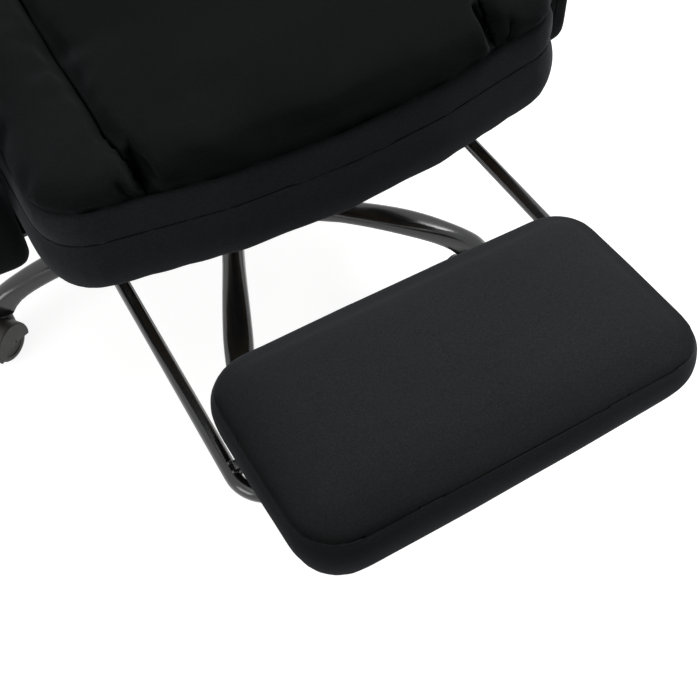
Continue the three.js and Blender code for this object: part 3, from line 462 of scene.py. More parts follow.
def swell(obj, cap, held, calm):
    """Fills a slack cover by a cloth simulation under pressure; held points stay where they are."""
    scene = bpy.context.scene
    cloth = scene.chair_upholstery
    rest = points_of(obj.data)
    pins = obj.vertex_groups.new(name="held")
    pins.add(np.flatnonzero(held).tolist(), 1.0, "REPLACE")
    fill = modified(obj, "Fill", "CLOTH")
    tuned(fill.settings, use_pressure=True, uniform_pressure_force=cloth.fill_pressure,
          shrink_min=-cloth.slack, tension_stiffness=5, compression_stiffness=5, quality=4,
          vertex_group_mass="held")
    fill.settings.effector_weights.gravity = 0
    fill.collision_settings.use_collision = False
    tuned(fill.point_cache, frame_start=1, frame_end=SIM_FRAMES)
    for step in range(SIM_FRAMES):
        scene.frame_set(step + 1)
    mesh = evaluated(obj)
    moved = points_of(mesh) - rest
    size = np.linalg.norm(moved, axis=1, keepdims=True)
    share = cap * np.tanh(size / cap) / np.maximum(size, 1e-9)
    set_points(mesh, rest + calmed(mesh, moved * share, calm, held))
    swapped(obj, mesh)
    obj.vertex_groups.clear()
    scene.frame_set(1)


def stuffed(node, cell, cap, inset=0.003, held=None, smooth=6, calm=3, swells=True):
    """A soft piece that starts from its solid: merged, remeshed, smoothed, filled and subdivided."""
    bm = bmesh.new()
    bm.from_mesh(frame["nodes"][node].data)
    bmesh.ops.remove_doubles(bm, verts=bm.verts, dist=MERGE)
    obj = linked(node + "_core", mesh_from(node, bm))
    modified(obj, "Cells", "REMESH", mode="VOXEL", voxel_size=cell)
    modified(obj, "Soften", "SMOOTH", factor=0.5, iterations=smooth)
    swapped(obj, evaluated(obj))
    co = points_of(obj.data)
    pinned = held(co) if held else np.zeros(len(co), bool)
    if swells:
        set_points(obj.data, co - normals_of(obj.data) * inset * ~pinned[:, None])
        swell(obj, cap, pinned, calm)
    modified(obj, "Finer", "SUBSURF", levels=1, render_levels=1)
    made = evaluated(obj)
    core = obj.data
    bpy.data.objects.remove(obj)
    bpy.data.meshes.remove(core)
    return made


def pinch(mesh, distance, depth, width, near=lambda co: 1.0):
    """Pulls points in where they lie near a seam; distance gives each point's distance from it."""
    co = points_of(mesh)
    pull = bell(distance(co), width) * near(co)
    set_points(mesh, co - normals_of(mesh) * (depth * pull)[:, None])


def edge_distance(co, low, high, corner):
    """How far each point lies inside a box's outline with rounded corners, seen from above."""
    low, high = np.array(low.xy), np.array(high.xy)
    out = np.abs(co[:, :2] - (low + high) / 2) - (high - low) / 2 + corner
    return corner - np.linalg.norm(np.maximum(out, 0), axis=1) - np.minimum(out.max(axis=1), 0)


def marked(mesh, name, values):
    """Raises a value held at each point, such as "seam" or "tone_and_shade", to at least these values."""
    layer = mesh.attributes.get(name) or mesh.attributes.new(name, "FLOAT", "POINT")
    old = np.zeros(len(mesh.vertices), np.float32)
    layer.data.foreach_get("value", old)
    layer.data.foreach_set("value", np.maximum(old, values).astype(np.float32))


def set_tone_and_shade(mesh, level):
    """Sets how dark the pile is, from its own tone and from painted shade: one number, or a function of
    points and normals.
    """
    values = level(points_of(mesh), normals_of(mesh)) if callable(level) else level
    marked(mesh, "tone_and_shade", np.clip(values, 0, 1))


def furrow(mesh, path, depth, width, near, painted_shade):
    """Draws the cover in along a path of (x, z) points, fading at its ends, and paints shade into it."""
    co = points_of(mesh)
    flat, route = co[:, (0, 2)], np.array(path)
    away = np.full(len(co), 1.0)
    along = np.zeros(len(co))
    for k, (a, b) in enumerate(zip(route, route[1:])):
        run = b - a
        share = np.clip((flat - a) @ run / (run @ run), 0, 1)
        gap = np.linalg.norm(flat - a - share[:, None] * run, axis=1)
        closer = gap < away
        away[closer] = gap[closer]
        along[closer] = (k + share[closer]) / (len(route) - 1)
    fade = np.clip(6 * along * (1 - along), 0.15, 1) * near(co)
    set_points(mesh, co - normals_of(mesh) * (depth * fade * bell(away, width))[:, None])
    # Painted shade in the furrow
    marked(mesh, "seam", painted_shade * fade * bell(away, 0.55 * width))


def of_kind(items, kind):
    return [g for g in items if isinstance(g, kind)]


def stitch_line(mesh, point, normal, where=None, half=None, depth=None, least=0.25):
    """Cuts edges along a plane, draws the middle one in as a turned seam does, and paints shade along it.
    """
    cloth = bpy.context.scene.chair_upholstery
    half, depth = half or cloth.seam_width, depth or cloth.seam_depth
    point, normal = Vector(point), Vector(normal).normalized()
    bm = bmesh.new()
    bm.from_mesh(mesh)
    layer = bm.verts.layers.float.get("seam") or bm.verts.layers.float.new("seam")
    near = [f for f in bm.faces if abs((f.calc_center_median() - point).dot(normal)) < 0.02
            and (where is None or where(f.calc_center_median()))]
    for offset in (-half, half, 0.0):
        geom = list(dict.fromkeys(g for f in near for g in (*f.verts, *f.edges, f)))
        cut = bmesh.ops.bisect_plane(
            bm, geom=geom, dist=0.00001, plane_co=point + normal * offset, plane_no=normal)
        near = of_kind(cut["geom"], BMFace)
    bm.normal_update()
    pulled = [(v, v.normal.copy()) for v in of_kind(cut["geom_cut"], BMVert)]
    for v, n in pulled:
        pucker = 0.5 + 0.5 * noise.noise(v.co / cloth.stitch_length)
        v.co -= n * depth * (0.7 + 0.6 * pucker)
        # Painted shade along the seam: the cut points are darkened, unevenly as the seam puckers
        v[layer] = min(least + 1.3 * pucker, 1.0)
    bm.to_mesh(mesh)
    bm.free()


def creased(mesh, weight, scale, depth, seed):
    """Soft irregular creases; weight gives how strongly each point takes them."""
    co = points_of(mesh)
    share = weight(co)
    offset = Vector((seed * 1.7, seed * 0.9, seed * 2.3))
    lift = np.array([
        noise.noise(Vector(p) * scale + offset) if s > 0.01 else 0.0 for p, s in zip(co, share)])
    set_points(mesh, co + normals_of(mesh) * (lift * depth * share)[:, None])


def edges_at(verts):
    return list(dict.fromkeys(e for v in verts for e in v.link_edges))


def softened(bm, verts, width, segments):
    bmesh.ops.bevel(bm, geom=edges_at(verts), offset=width, offset_type="OFFSET", affect="EDGES",
                    segments=segments, profile=0.5, material=-1)


def bar(bm, low, high, edge):
    """A block between two corners with softened edges."""
    place = Matrix.Translation((low + high) / 2) @ Matrix.Diagonal((*(high - low), 1))
    softened(bm, bmesh.ops.create_cube(bm, size=1.0, matrix=place)["verts"], edge, 3)


def extruded(bm, chain):
    """Extrudes edges where they stand, and returns the new vertices and the new edges ahead."""
    made = bmesh.ops.extrude_edge_only(bm, edges=chain)["geom"]
    verts = of_kind(made, BMVert)
    return verts, [e for e in of_kind(made, BMEdge) if all(v in verts for v in e.verts)]


def drawn_on(bm, ring, step):
    """Extrudes a ring of edges along a step, and returns the new ring."""
    verts, ahead = extruded(bm, ring)
    bmesh.ops.translate(bm, verts=verts, vec=step)
    return ahead


def bent_on(bm, ring, centre):
    """Bends a ring of edges through a quarter turn about an upright axis, and returns the new ring."""
    made = bmesh.ops.spin(
        bm, geom=ring, cent=centre, axis=(0, 0, 1), angle=pi / 2, steps=14, use_duplicate=False)
    return of_kind(made["geom_last"], BMEdge)


def recalculated(bm):
    bmesh.ops.remove_doubles(bm, verts=bm.verts, dist=MERGE)
    bmesh.ops.recalc_face_normals(bm, faces=bm.faces)


def lathed(bm, profile, matrix, steps):
    """Spins a profile of (radius, height) pairs right round the Z axis of a matrix."""
    verts = [bm.verts.new(matrix @ Vector((r, 0, z))) for r, z in profile]
    edges = [bm.edges.new(pair) for pair in zip(verts, verts[1:])]
    bmesh.ops.spin(bm, geom=verts + edges, cent=matrix.to_translation(), axis=matrix.col[2].xyz,
                   angle=2 * pi, steps=steps, use_merge=True)


def hanging(place):
    """A frame at a place whose Z points down."""
    return Matrix.Translation(place) @ Vector((0, 0, -1)).to_track_quat("Z", "Y").to_matrix().to_4x4()


def hex_bolt(bm, place, across):
    """A hexagon bolt head on a washer, standing down from a place."""
    seat, rise, height = hanging(place), 0.0012, 0.004
    washer = across * 0.95
    lathed(bm, [(0, rise), (washer * 0.96, rise), (washer, 0.0009), (washer, 0.0), (0, 0.0)], seat, 24)
    made = bmesh.ops.create_cone(
        bm, cap_ends=True, segments=6, radius1=across * 0.577, radius2=across * 0.577, depth=height,
        matrix=seat @ Matrix.Translation((0, 0, rise + height / 2)))
    softened(bm, made["verts"], across * 0.04, 2)


def round_screw(bm, place, radius=0.004):
    """A round screw head with a socket, standing down from a place."""
    dome = [(0, 0.0006), (radius * 0.4, 0.0006), (radius * 0.42, 0.0019), (radius * 0.7, 0.0017),
            (radius * 0.93, 0.0010), (radius, 0.0002), (radius, 0), (0, 0)]
    lathed(bm, dome, hanging(place), 24)


# Footrest
class CHAIR_OT_footrest_pad(bpy.types.Operator):
    """Footrest pad: a boxed velvet cushion on its board and clips"""
    bl_idname = "chair.footrest_pad"
    bl_label = "Footrest pad"

    def execute(self, context):
        low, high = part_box("footrest_cushion")
        seam, glued, corner, wider, shallower = low.z + 0.050, low.z + 0.0105, 0.044, 1.018, 0.976
        mesh = stuffed("footrest_cushion", cell=0.0045, cap=0.007, inset=0.0, calm=30, smooth=4,
                       held=lambda co: (co[:, 2] < glued) | (np.abs(co[:, 2] - seam) < 0.0025))
        co = points_of(mesh)
        inward = 1 - ramp(edge_distance(co, low, high, corner), 0, 0.05)
        lift = np.maximum(co[:, 2] - seam, 0)
        co[:, 2] -= lift * (0.05 + 0.65 * (1 - np.sqrt(1 - inward ** 2)))
        middle = (low + high) / 2
        turn, lean = radians(1.3), tan(radians(2.3))
        x, y = (co[:, 0] - middle.x) * wider, (co[:, 1] - middle.y) * shallower
        leaning = np.maximum(ramp(co[:, 2], low.z + 0.004, 0.02), 0.45 * (x > 0))
        co[:, 2] -= lean * x * leaning
        co[:, 0] = middle.x + 0.0045 + x * cos(turn) - y * sin(turn)
        co[:, 1] = middle.y + x * sin(turn) + y * cos(turn)
        set_points(mesh, co)
        above = lambda co: co[:, 2] - seam + lean * (co[:, 0] - middle.x)
        pinch(mesh, lambda co: np.abs(above(co)), depth=0.0008, width=0.005)
        creased(mesh, lambda co: ramp(above(co), 0, 0.01), scale=9, depth=0.0012, seed=3)
        stitch_line(mesh, (middle.x, 0, seam), (lean, 0, 1))
        # Painted shade: the pad is darker towards its left, on faces turned away from the top, and on the
        # top's rounded shoulder near its edges
        across = lambda co: (co[:, 0] - low.x) / (high.x - low.x)
        shoulder = lambda co: (above(co) > 0) * np.exp(-edge_distance(co, low, high, corner) / 0.016)
        set_tone_and_shade(mesh, lambda co, n: 0.3 * (1 - across(co)) + 0.7 * shoulder(co)
                + (0.55 - 0.3 * across(co)) * np.clip(1 - 1.2 * n[:, 2], 0, 1))
        upholstered("footrest_cushion_cover", mesh, "footrest_pad", "footrest_cushion")
        dress("footrest_board")
        bm = bmesh.new()
        for clip in ("footrest_clip_left", "footrest_clip_right"):
            dress(clip)
            near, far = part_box(clip)
            for y in (near.y + 0.0075, far.y - 0.0075):
                round_screw(bm, Vector(((near.x + far.x) / 2, y, far.z - 0.002)))
        piece("footrest_clip_screws", bm, "footrest_pad", "bright_steel")
        return {"FINISHED"}


class CHAIR_OT_footrest_frame(bpy.types.Operator):
    """Footrest frame: one bent tube with a welded bar, its collars and end plugs"""
    bl_idname = "chair.footrest_frame"
    bl_label = "Footrest frame"

    def execute(self, context):
        metal = context.scene.chair_metal
        low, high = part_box("footrest_frame")
        radius, bend, rail_z = 0.0075, 0.036, 0.293
        rail_x = (high.x - low.x) / 2 - radius
        front = low.y + radius
        left, right = COLUMN.x - rail_x, COLUMN.x + rail_x
        bm = bmesh.new()
        seat = Matrix.Translation((left, high.y, rail_z)) @ Matrix.Rotation(pi / 2, 4, "X")
        start = bmesh.ops.create_circle(bm, segments=metal.tube_sides, radius=radius, matrix=seat)
        first = edges_at(start["verts"])
        run = Vector((0, front + bend - high.y, 0))
        ring = drawn_on(bm, first, run)
        ring = bent_on(bm, ring, (left + bend, front + bend, rail_z))
        ring = drawn_on(bm, ring, Vector((right - left - 2 * bend, 0, 0)))
        ring = bent_on(bm, ring, (right - bend, front + bend, rail_z))
        last = drawn_on(bm, ring, -run)
        for edges in (first, last):
            bmesh.ops.holes_fill(bm, edges=edges, sides=0)
        recalculated(bm)
        depth, plug, rim = 0.0097, radius + 0.0012, radius + 0.0016
        collar = [(radius, 0), (plug, 0), (rim, 0.0006), (rim, depth - 0.0006), (plug, depth),
                  (radius * 0.2, depth)]
        for x in (left, right):
            place = Matrix.Translation((x, high.y - depth, rail_z))
            lathed(bm, collar, place @ Matrix.Rotation(-pi / 2, 4, "X"), 28)
        half, setback = rail_x - radius / 2, 0.035
        bar_low = Vector((COLUMN.x - half, front + setback, rail_z + 0.0003))
        bar_high = Vector((COLUMN.x + half, front + setback + 0.010, rail_z + 0.0097))
        bar(bm, bar_low, bar_high, 0.0012)
        recalculated(bm)
        piece("footrest_tube", bm, "footrest", "gloss_steel", ["footrest_frame"], angle=60)
        bm = bmesh.new()
        ripple = metal.weld_radius
        for x, side in ((left, 1), (right, -1)):
            for y in (bar_low.y, bar_high.y):
                for k in range(9):
                    share = k / 8
                    around = radians(78 - 66 * share)
                    stray = 0.0004 * noise.noise(Vector((k * 3.1, y * 90, x * 50)))
                    spot = Vector((x + side * radius * cos(around), y + stray,
                                   rail_z + radius * sin(around)))
                    size = ripple * (1 + 0.25 * noise.noise(Vector((k * 2.3, x * 70, y * 40))))
                    bmesh.ops.create_icosphere(
                        bm, subdivisions=2, radius=size, matrix=Matrix.Translation(spot))
        piece("footrest_weld_beads", bm, "footrest", "gloss_steel")
        bm = bmesh.new()
        for node, side in (("guide_bracket_left", 1), ("guide_bracket_right", -1)):
            dress(node)
            near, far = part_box(node)
            x = far.x - 0.013 if side > 0 else near.x + 0.013
            for y in (near.y + 0.018, far.y - 0.018):
                hex_bolt(bm, Vector((x, y, far.z - 0.003)), across=0.009)
        piece("guide_bracket_bolts", bm, "seat", "bright_steel")
        return {"FINISHED"}


# Seat
CHANNEL_FRONT = 0.168
CHANNEL_BACK = 0.177
# Each furrow at a channel's front end: (outward, up) points, depth, width and strength of its painted
# shade
FURROWS = (
    (((0.021, 0.026), (0.017, 0.012), (0.011, 0.002)), 0.004, 0.005, 0.7),
    (((-0.006, 0.030), (-0.008, 0.016)), 0.0025, 0.0045, 0.6),
    (((0, 0.036), (0, 0.004)), 0.004, 0.0075, 1.0),
)


def channel_line(y, front):
    """How far a seat channel stands from the middle; the channels close in a little at the front."""
    return CHANNEL_FRONT + (CHANNEL_BACK - CHANNEL_FRONT) * ramp(y, front + 0.01, 0.06)


class CHAIR_OT_seat(bpy.types.Operator):
    """Seat: a banded cushion and the plush channelled pillow on it"""
    bl_idname = "chair.seat"
    bl_label = "Seat"

    def execute(self, context):
        low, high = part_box("seat_cushion")
        seam, glued = low.z + 0.058, low.z + 0.0145
        band = stuffed("seat_cushion", cell=0.0065, cap=0.006, inset=0.0, calm=20, smooth=9,
                       held=lambda co: (co[:, 2] < glued) | (np.abs(co[:, 2] - seam) < 0.004))
        pinch(band, lambda co: np.abs(co[:, 2] - seam), depth=0.0006, width=0.005)
        creased(band, lambda co: ramp(co[:, 2], low.z + 0.02, 0.03), scale=9, depth=0.0015, seed=5)
        stitch_line(band, (0, 0, seam), (0, 0, 1))
        # Painted light: the band's faces turned to the left are lighter than the rest
        set_tone_and_shade(band, lambda co, n: 0.12 - 0.12 * np.clip(-n[:, 0], 0, 1))
        upholstered("seat_cushion_cover", band, "seat", "seat_cushion")

        base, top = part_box("seat_pillow")
        front, crown = base.y + 0.018, base.z + 0.016
        off = lambda co: np.abs(np.abs(co[:, 0] - COLUMN.x) - channel_line(co[:, 1], front))
        raised = lambda co: ramp(co[:, 2], base.z, 0.02)
        plush = stuffed("seat_pillow", cell=0.0055, cap=0.011, inset=0.002, calm=7,
                        held=lambda co: (co[:, 2] < base.z + 0.003)
                        | ((off(co) < 0.004) & (co[:, 2] > crown)))
        pinch(plush, off, depth=0.007, width=0.008, near=raised)
        creased(plush, lambda co: bell(off(co), 0.03) * raised(co), scale=38, depth=0.003, seed=8)
        creased(plush, raised, scale=11, depth=0.005, seed=21)
        forward = lambda co: co[:, 1] < front + 0.045
        for side in (-1, 1):
            for path, depth, width, painted_shade in FURROWS:
                route = [(COLUMN.x + side * (CHANNEL_FRONT + out), base.z + up) for out, up in path]
                furrow(plush, route, depth, width, forward, painted_shade)
            bend, line = front + 0.07, COLUMN.x + side * CHANNEL_BACK
            stitch_line(plush, (line, 0, 0), (1, 0, 0),
                        lambda c: c.y > bend - 0.004 and c.z > crown, half=0.0018, depth=0.004, least=1.0)
            slant = Vector((side * (CHANNEL_BACK - CHANNEL_FRONT), 0.06, 0)).cross(Vector((0, 0, 1)))
            stitch_line(plush, (line, bend, 0), slant,
                        lambda c: c.y <= bend and c.z > base.z + 0.004 and abs(c.x - COLUMN.x) > 0.15,
                        half=0.0026, depth=0.004, least=1.0)
        co = points_of(plush)
        open_end = ramp(co[:, 1], front + 0.05, -0.05)
        # Painted shade in the cleft between the rolls, a thin line that widens at the open front end
        marked(plush, "seam", bell(off(co), 0.0014 + 0.0022 * open_end) * raised(co))
        # Painted shade, uneven, along the pillow's lower edge where it sits on the band
        rim = np.array([0.65 + 0.7 * noise.noise(Vector(p) * 60) for p in co])
        marked(plush, "seam", rim * np.clip(1.25 - (co[:, 2] - base.z) / 0.008, 0, 1))
        # The pillow's pile is set at its darkest, a little less dark on the outer rolls
        set_tone_and_shade(plush, lambda co, n: 1.0 - 0.1 * ramp(np.abs(co[:, 0] - COLUMN.x), 0.15, 0.05))
        upholstered("seat_pillow_cover", plush, "seat", "seat_pillow")
        dress("seat_board")
        return {"FINISHED"}


# Armrests
class CHAIR_OT_armrests(bpy.types.Operator):
    """Armrests: padded velvet loops with a pad on top, on steel brackets"""
    bl_idname = "chair.armrests"
    bl_label = "Armrests"

    def execute(self, context):
        for side in ("left", "right"):
            loop = f"armrest_{side}"
            low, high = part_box(loop)
            middle = (low.x + high.x) / 2
            mesh = stuffed(loop, cell=0.006, cap=0.005, inset=0.0, calm=8)
            co = points_of(mesh)
            toe = ramp(co[:, 2], low.z + 0.13, -0.06) * ramp(co[:, 1], low.y + 0.11, -0.06)
            co[:, 0] += (0.003 + 0.0045 * toe) * (-1 if side == "left" else 1)
            set_points(mesh, co)
            creased(mesh, lambda co: np.ones(len(co)), scale=18, depth=0.003, seed=31)
            stitch_line(mesh, (middle, 0, 0), (1, 0, 0))
            set_tone_and_shade(mesh, 0.75)
            upholstered(loop + "_cover", mesh, "seat", loop)
            pad = f"arm_pad_{side}"
            low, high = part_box(pad)
            mesh = stuffed(pad, cell=0.005, cap=0.004, inset=0.0015,
                           held=lambda co: co[:, 2] < low.z + 0.003)
            stitch_line(mesh, (0, 0, low.z + 0.012), (0, 0, 1))
            set_tone_and_shade(mesh, 0.6)
            upholstered(pad + "_cover", mesh, "seat", pad)
            self.bolts(side)
        return {"FINISHED"}

    def bolts(self, side):
        """Two bolts through each strip of a bracket into the seat board."""
        dress(f"arm_bracket_{side}")
        low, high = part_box(f"arm_bracket_{side}")
        bm = bmesh.new()
        for y in (low.y + 0.023, high.y - 0.023):
            for reach in (0.020, 0.060):
                x = low.x + reach if side == "left" else high.x - reach
                hex_bolt(bm, Vector((x, y, low.z)), across=0.010)
        piece(f"arm_bracket_{side}_bolts", bm, "seat", "bright_steel")


# Back
class CHAIR_OT_back(bpy.types.Operator):
    """Back: a foam slab, its rear cover and three plush pillows"""
    bl_idname = "chair.back"
    bl_label = "Back"

    def execute(self, context):
        lean = Matrix.Translation((COLUMN.x, HINGE.y, HINGE.z)) @ Matrix.Rotation(-radians(12), 4, "X")
        upright, channel = np.array(lean.inverted()), 0.140
        off = lambda co: np.abs(np.abs(co @ upright[0, :3] + upright[0, 3]) - channel)
        behind = lambda co: co @ upright[1, :3] + upright[1, 3]

        slab = stuffed("back_cushion", cell=0.007, cap=0.004, swells=False)
        creased(slab, lambda co: behind(co) < 0.005, scale=14, depth=0.003, seed=41)
        stitch_line(slab, lean @ Vector((0, -0.022, 0)), lean.col[1].xyz)
        set_tone_and_shade(slab, 0.7)
        upholstered("back_cushion_cover", slab, "back", "back_cushion")
        rear = stuffed("back_cover", cell=0.007, cap=0.004, swells=False)
        creased(rear, lambda co: behind(co) > 0.03, scale=9, depth=0.004, seed=43)
        set_tone_and_shade(rear, 0.6)
        upholstered("back_rear_cover", rear, "back", "back_cover")
        for index, name in enumerate(("lumbar_pillow", "upper_pillow", "headrest_pillow")):
            channelled = name != "headrest_pillow"
            mesh = stuffed(name, cell=0.0055, cap=0.010, held=lambda co: (behind(co) > -0.0335)
                           | (channelled & (off(co) < 0.004) & (behind(co) < -0.055)))
            if channelled:
                creased(mesh, lambda co: bell(off(co), 0.03) * ramp(behind(co), -0.035, -0.02),
                        scale=40, depth=0.006, seed=51 + index)
            creased(mesh, lambda co: ramp(behind(co), -0.034, -0.02), scale=12, depth=0.006,
                    seed=61 + index)
            for side in (-1, 1) if channelled else ():
                stitch_line(mesh, lean @ Vector((side * channel, 0, 0)), lean.col[0].xyz,
                            lambda c: (lean.inverted() @ c).y < -0.05)
            set_tone_and_shade(mesh, 0.65)
            upholstered(name + "_cover", mesh, "back", name)
        dress("back_board")
        return {"FINISHED"}


# Groups whose nodes keep their own meshes
class Dressed:
    """Gives each node of a group its finish, and edges softened by a width in metres."""

    def execute(self, context):
        for node, edge in self.nodes.items():
            dress(node, edge)
        return {"FINISHED"}


class CHAIR_OT_recliner(Dressed, bpy.types.Operator):
    """Recliner: side plates, cross shaft and release lever"""
    bl_idname = "chair.recliner"
    bl_label = "Recliner"
    nodes = {"recliner_fixed_left": EDGE, "recliner_moving_left": EDGE, "recliner_fixed_right": EDGE,
             "recliner_moving_right": EDGE, "recline_shaft": EDGE, "recline_lever": SOFT_EDGE}


class CHAIR_OT_mechanism(Dressed, bpy.types.Operator):
    """Tilt mechanism: pan, plate, pin, tension knob, spring and height lever"""
    bl_idname = "chair.mechanism"
    bl_label = "Tilt mechanism"
    nodes = {"tilt_housing": EDGE, "seat_plate": EDGE, "tilt_pin": EDGE, "tension_spring": EDGE,
             "tension_knob": SOFT_EDGE, "height_lever": 0.001}


class CHAIR_OT_column(Dressed, bpy.types.Operator):
    """Column: gas cylinder, piston and telescoping covers"""
    bl_idname = "chair.column"
    bl_label = "Column"
    nodes = dict.fromkeys(("gas_cylinder", "gas_piston", "column_cover_lower", "column_cover_middle",
                           "column_cover_upper"), 0.0005)


# Base
ARM_REACH = 0.315
ARM_END = ARM_REACH + 0.018
ARM_BEND = ARM_REACH * 0.47
ARCH_END = ARM_REACH * 0.952
FIRST_ARM = radians(30.8)
ARMS = [Matrix.Translation(FOOT) @ Matrix.Rotation(FIRST_ARM + k * 2 * pi / 5, 4, "Z") for k in range(5)]
WALL = 0.0026
# Heights of an arm's crest and of its rims, at the hub, the bend and the tip
CREST_HUB, CREST_BEND, CREST_TIP = 0.122, 0.1173, 0.064
RIM_HUB, RIM_BEND, RIM_TIP = 0.088, 0.103, 0.058
CREST_ROUND = 0.0115
# An arm's half width at the hub, what it gains up to the bend and what it loses to the tip
HALF_HUB, HALF_GAIN, HALF_LOSS = 0.0134, 0.0042, 0.0044


def mixed(a, b, share):
    return a + (b - a) * share


def share_between(r, low, high):
    return min(max((r - low) / (high - low), 0), 1)


def fall(r, low, high):
    """Drops from 1 to 0 between two distances, as a quarter ellipse does."""
    return sqrt(1 - share_between(r, low, high) ** 2)


def arm_section(r):
    """The outline across a base arm, from one lower rim over the crest to the other."""
    root = min(r / ARM_BEND, 1)
    top = mixed(CREST_TIP, mixed(CREST_HUB, CREST_BEND, root), fall(r, ARM_BEND, ARM_END))
    foot = mixed(RIM_TIP, mixed(RIM_HUB, RIM_BEND, root), fall(r, ARM_BEND, ARCH_END))
    nose = share_between(r, ARM_REACH, ARM_END)
    shares = share_between(r, 0.08, 0.24), share_between(r, 0.22, ARM_END)
    swell_out, draw_in = (s * s * (3 - 2 * s) for s in shares)
    half = (HALF_HUB + HALF_GAIN * swell_out - HALF_LOSS * draw_in) * sqrt(1 - 0.55 * nose * nose)
    edge = min(CREST_ROUND, half)
    drop = min(edge, 0.55 * (top - foot))
    arc = [radians(90 * i / 8) for i in range(9)]
    side = [(half, foot), (half, mixed(foot, top - drop, 0.5))]
    side += [(half - edge + edge * cos(a), top - drop + drop * sin(a)) for a in arc]
    mirror = [(-y, z) for y, z in reversed(side)]
    return [Vector((r, y, z)) for y, z in side + [(0, top + 0.0004)] + mirror]


class CHAIR_OT_base(bpy.types.Operator):
    """Base: five pressed arms round a hub, open underneath"""
    bl_idname = "chair.base"
    bl_label = "Star base"

    def execute(self, context):
        bm = bmesh.new()
        stations = [0.024, 0.08, 0.12]
        stations += [mixed(ARM_BEND, ARM_END, sin(radians(90 * i / 22))) for i in range(22)]
        stations += [ARM_END - 0.0004]
        for arm in ARMS:
            verts = [bm.verts.new(arm @ p) for p in arm_section(stations[0])]
            chain = [bm.edges.new(pair) for pair in zip(verts, verts[1:])]
            for r in stations[1:]:
                fresh, chain = extruded(bm, chain)
                ahead = {e.other_vert(v): v for v in fresh for e in v.link_edges}
                verts = [ahead[v] for v in verts]
                for v, p in zip(verts, arm_section(r)):
                    v.co = arm @ p
            bmesh.ops.contextual_create(bm, geom=verts)
        recalculated(bm)
        star = piece("base_arms", bm, "base", "gloss_steel", ["base_star"], angle=50)
        modified(star, "Wall", "SOLIDIFY", thickness=WALL, offset=-1)
        modified(star, "Shading", "WEIGHTED_NORMAL", keep_sharp=True)
        bm = bmesh.new()
        hub = mm((25.3, 62), (36.2, 62), (37, 62.8), (37, 127), (36.2, 128.6), (34.5, 129), (25.3, 129),
                 (25.3, 62))
        lathed(bm, hub, Matrix.Translation(FOOT), 64)
        tube = mm((5.8, 58), (9.2, 58), (9.5, 58.3), (9.5, 72), (5.8, 72), (5.8, 58))
        for arm in ARMS:
            lathed(bm, tube, arm @ Matrix.Translation((ARM_REACH, 0, 0)), 24)
        recalculated(bm)
        piece("base_hub", bm, "base", "gloss_steel")
        return {"FINISHED"}


# Castor profiles: distance from the axle or stem, and place along it
SHELL = mm((27.4, -24.9), (28.5, -24.4), (29, -23.1), (29, 23.1), (28.5, 24.4), (27.4, 24.9), (26.8, 24.3),
           (26.8, 3), (8.5, 3), (8.5, -3), (26.8, -3), (26.8, -24.3))
CHEEK = mm((5.2, 22.7), (27.1, 22.7), (27.1, 24.8), (5.2, 24.8))
BOSS = mm((3.3, -3), (9.5, -3), (9.5, 3), (3.3, 3), (3.3, -3))
STEM = mm((0, 29), (9, 29), (9, 50), (8.6, 50.6), (7.8, 50.8), (7.4, 51.2), (7.4, 57), (7, 57.7),
          (5.5, 57.7), (5.5, 77.2), (4.7, 78), (0, 78))
WHEEL = mm((3.3, 3.8), (24.8, 3.8), (25.7, 4.2), (26, 5.2), (26, 18.4), (25.4, 20.1), (24.2, 21.3),
           (22.6, 21.8), (19, 21.8), (18.3, 21.4), (17.8, 20.4), (17, 20), (8, 19.6), (7.4, 20.2),
           (5, 20.6), (0, 20.8))
# Angle by which the hood's edges come down past the axle
HOOD_DIP = asin(8 / 29)


def mirrored(profile, side):
    return [(r, side * z) for r, z in profile]


def swept(bm, profile, matrix, start, turn, steps):
    """Spins a closed profile of (radius, height) pairs part of the way round, and caps its ends."""
    first = matrix @ Matrix.Rotation(start, 4, "Z")
    verts = [bm.verts.new(first @ Vector((r, 0, z))) for r, z in profile]
    edges = [bm.edges.new((a, b)) for a, b in zip(verts, verts[1:] + verts[:1])]
    made = bmesh.ops.spin(bm, geom=verts + edges, cent=matrix.to_translation(), axis=matrix.col[2].xyz,
                          angle=turn, steps=steps)
    bmesh.ops.contextual_create(bm, geom=edges)
    bmesh.ops.contextual_create(bm, geom=of_kind(made["geom_last"], BMEdge))


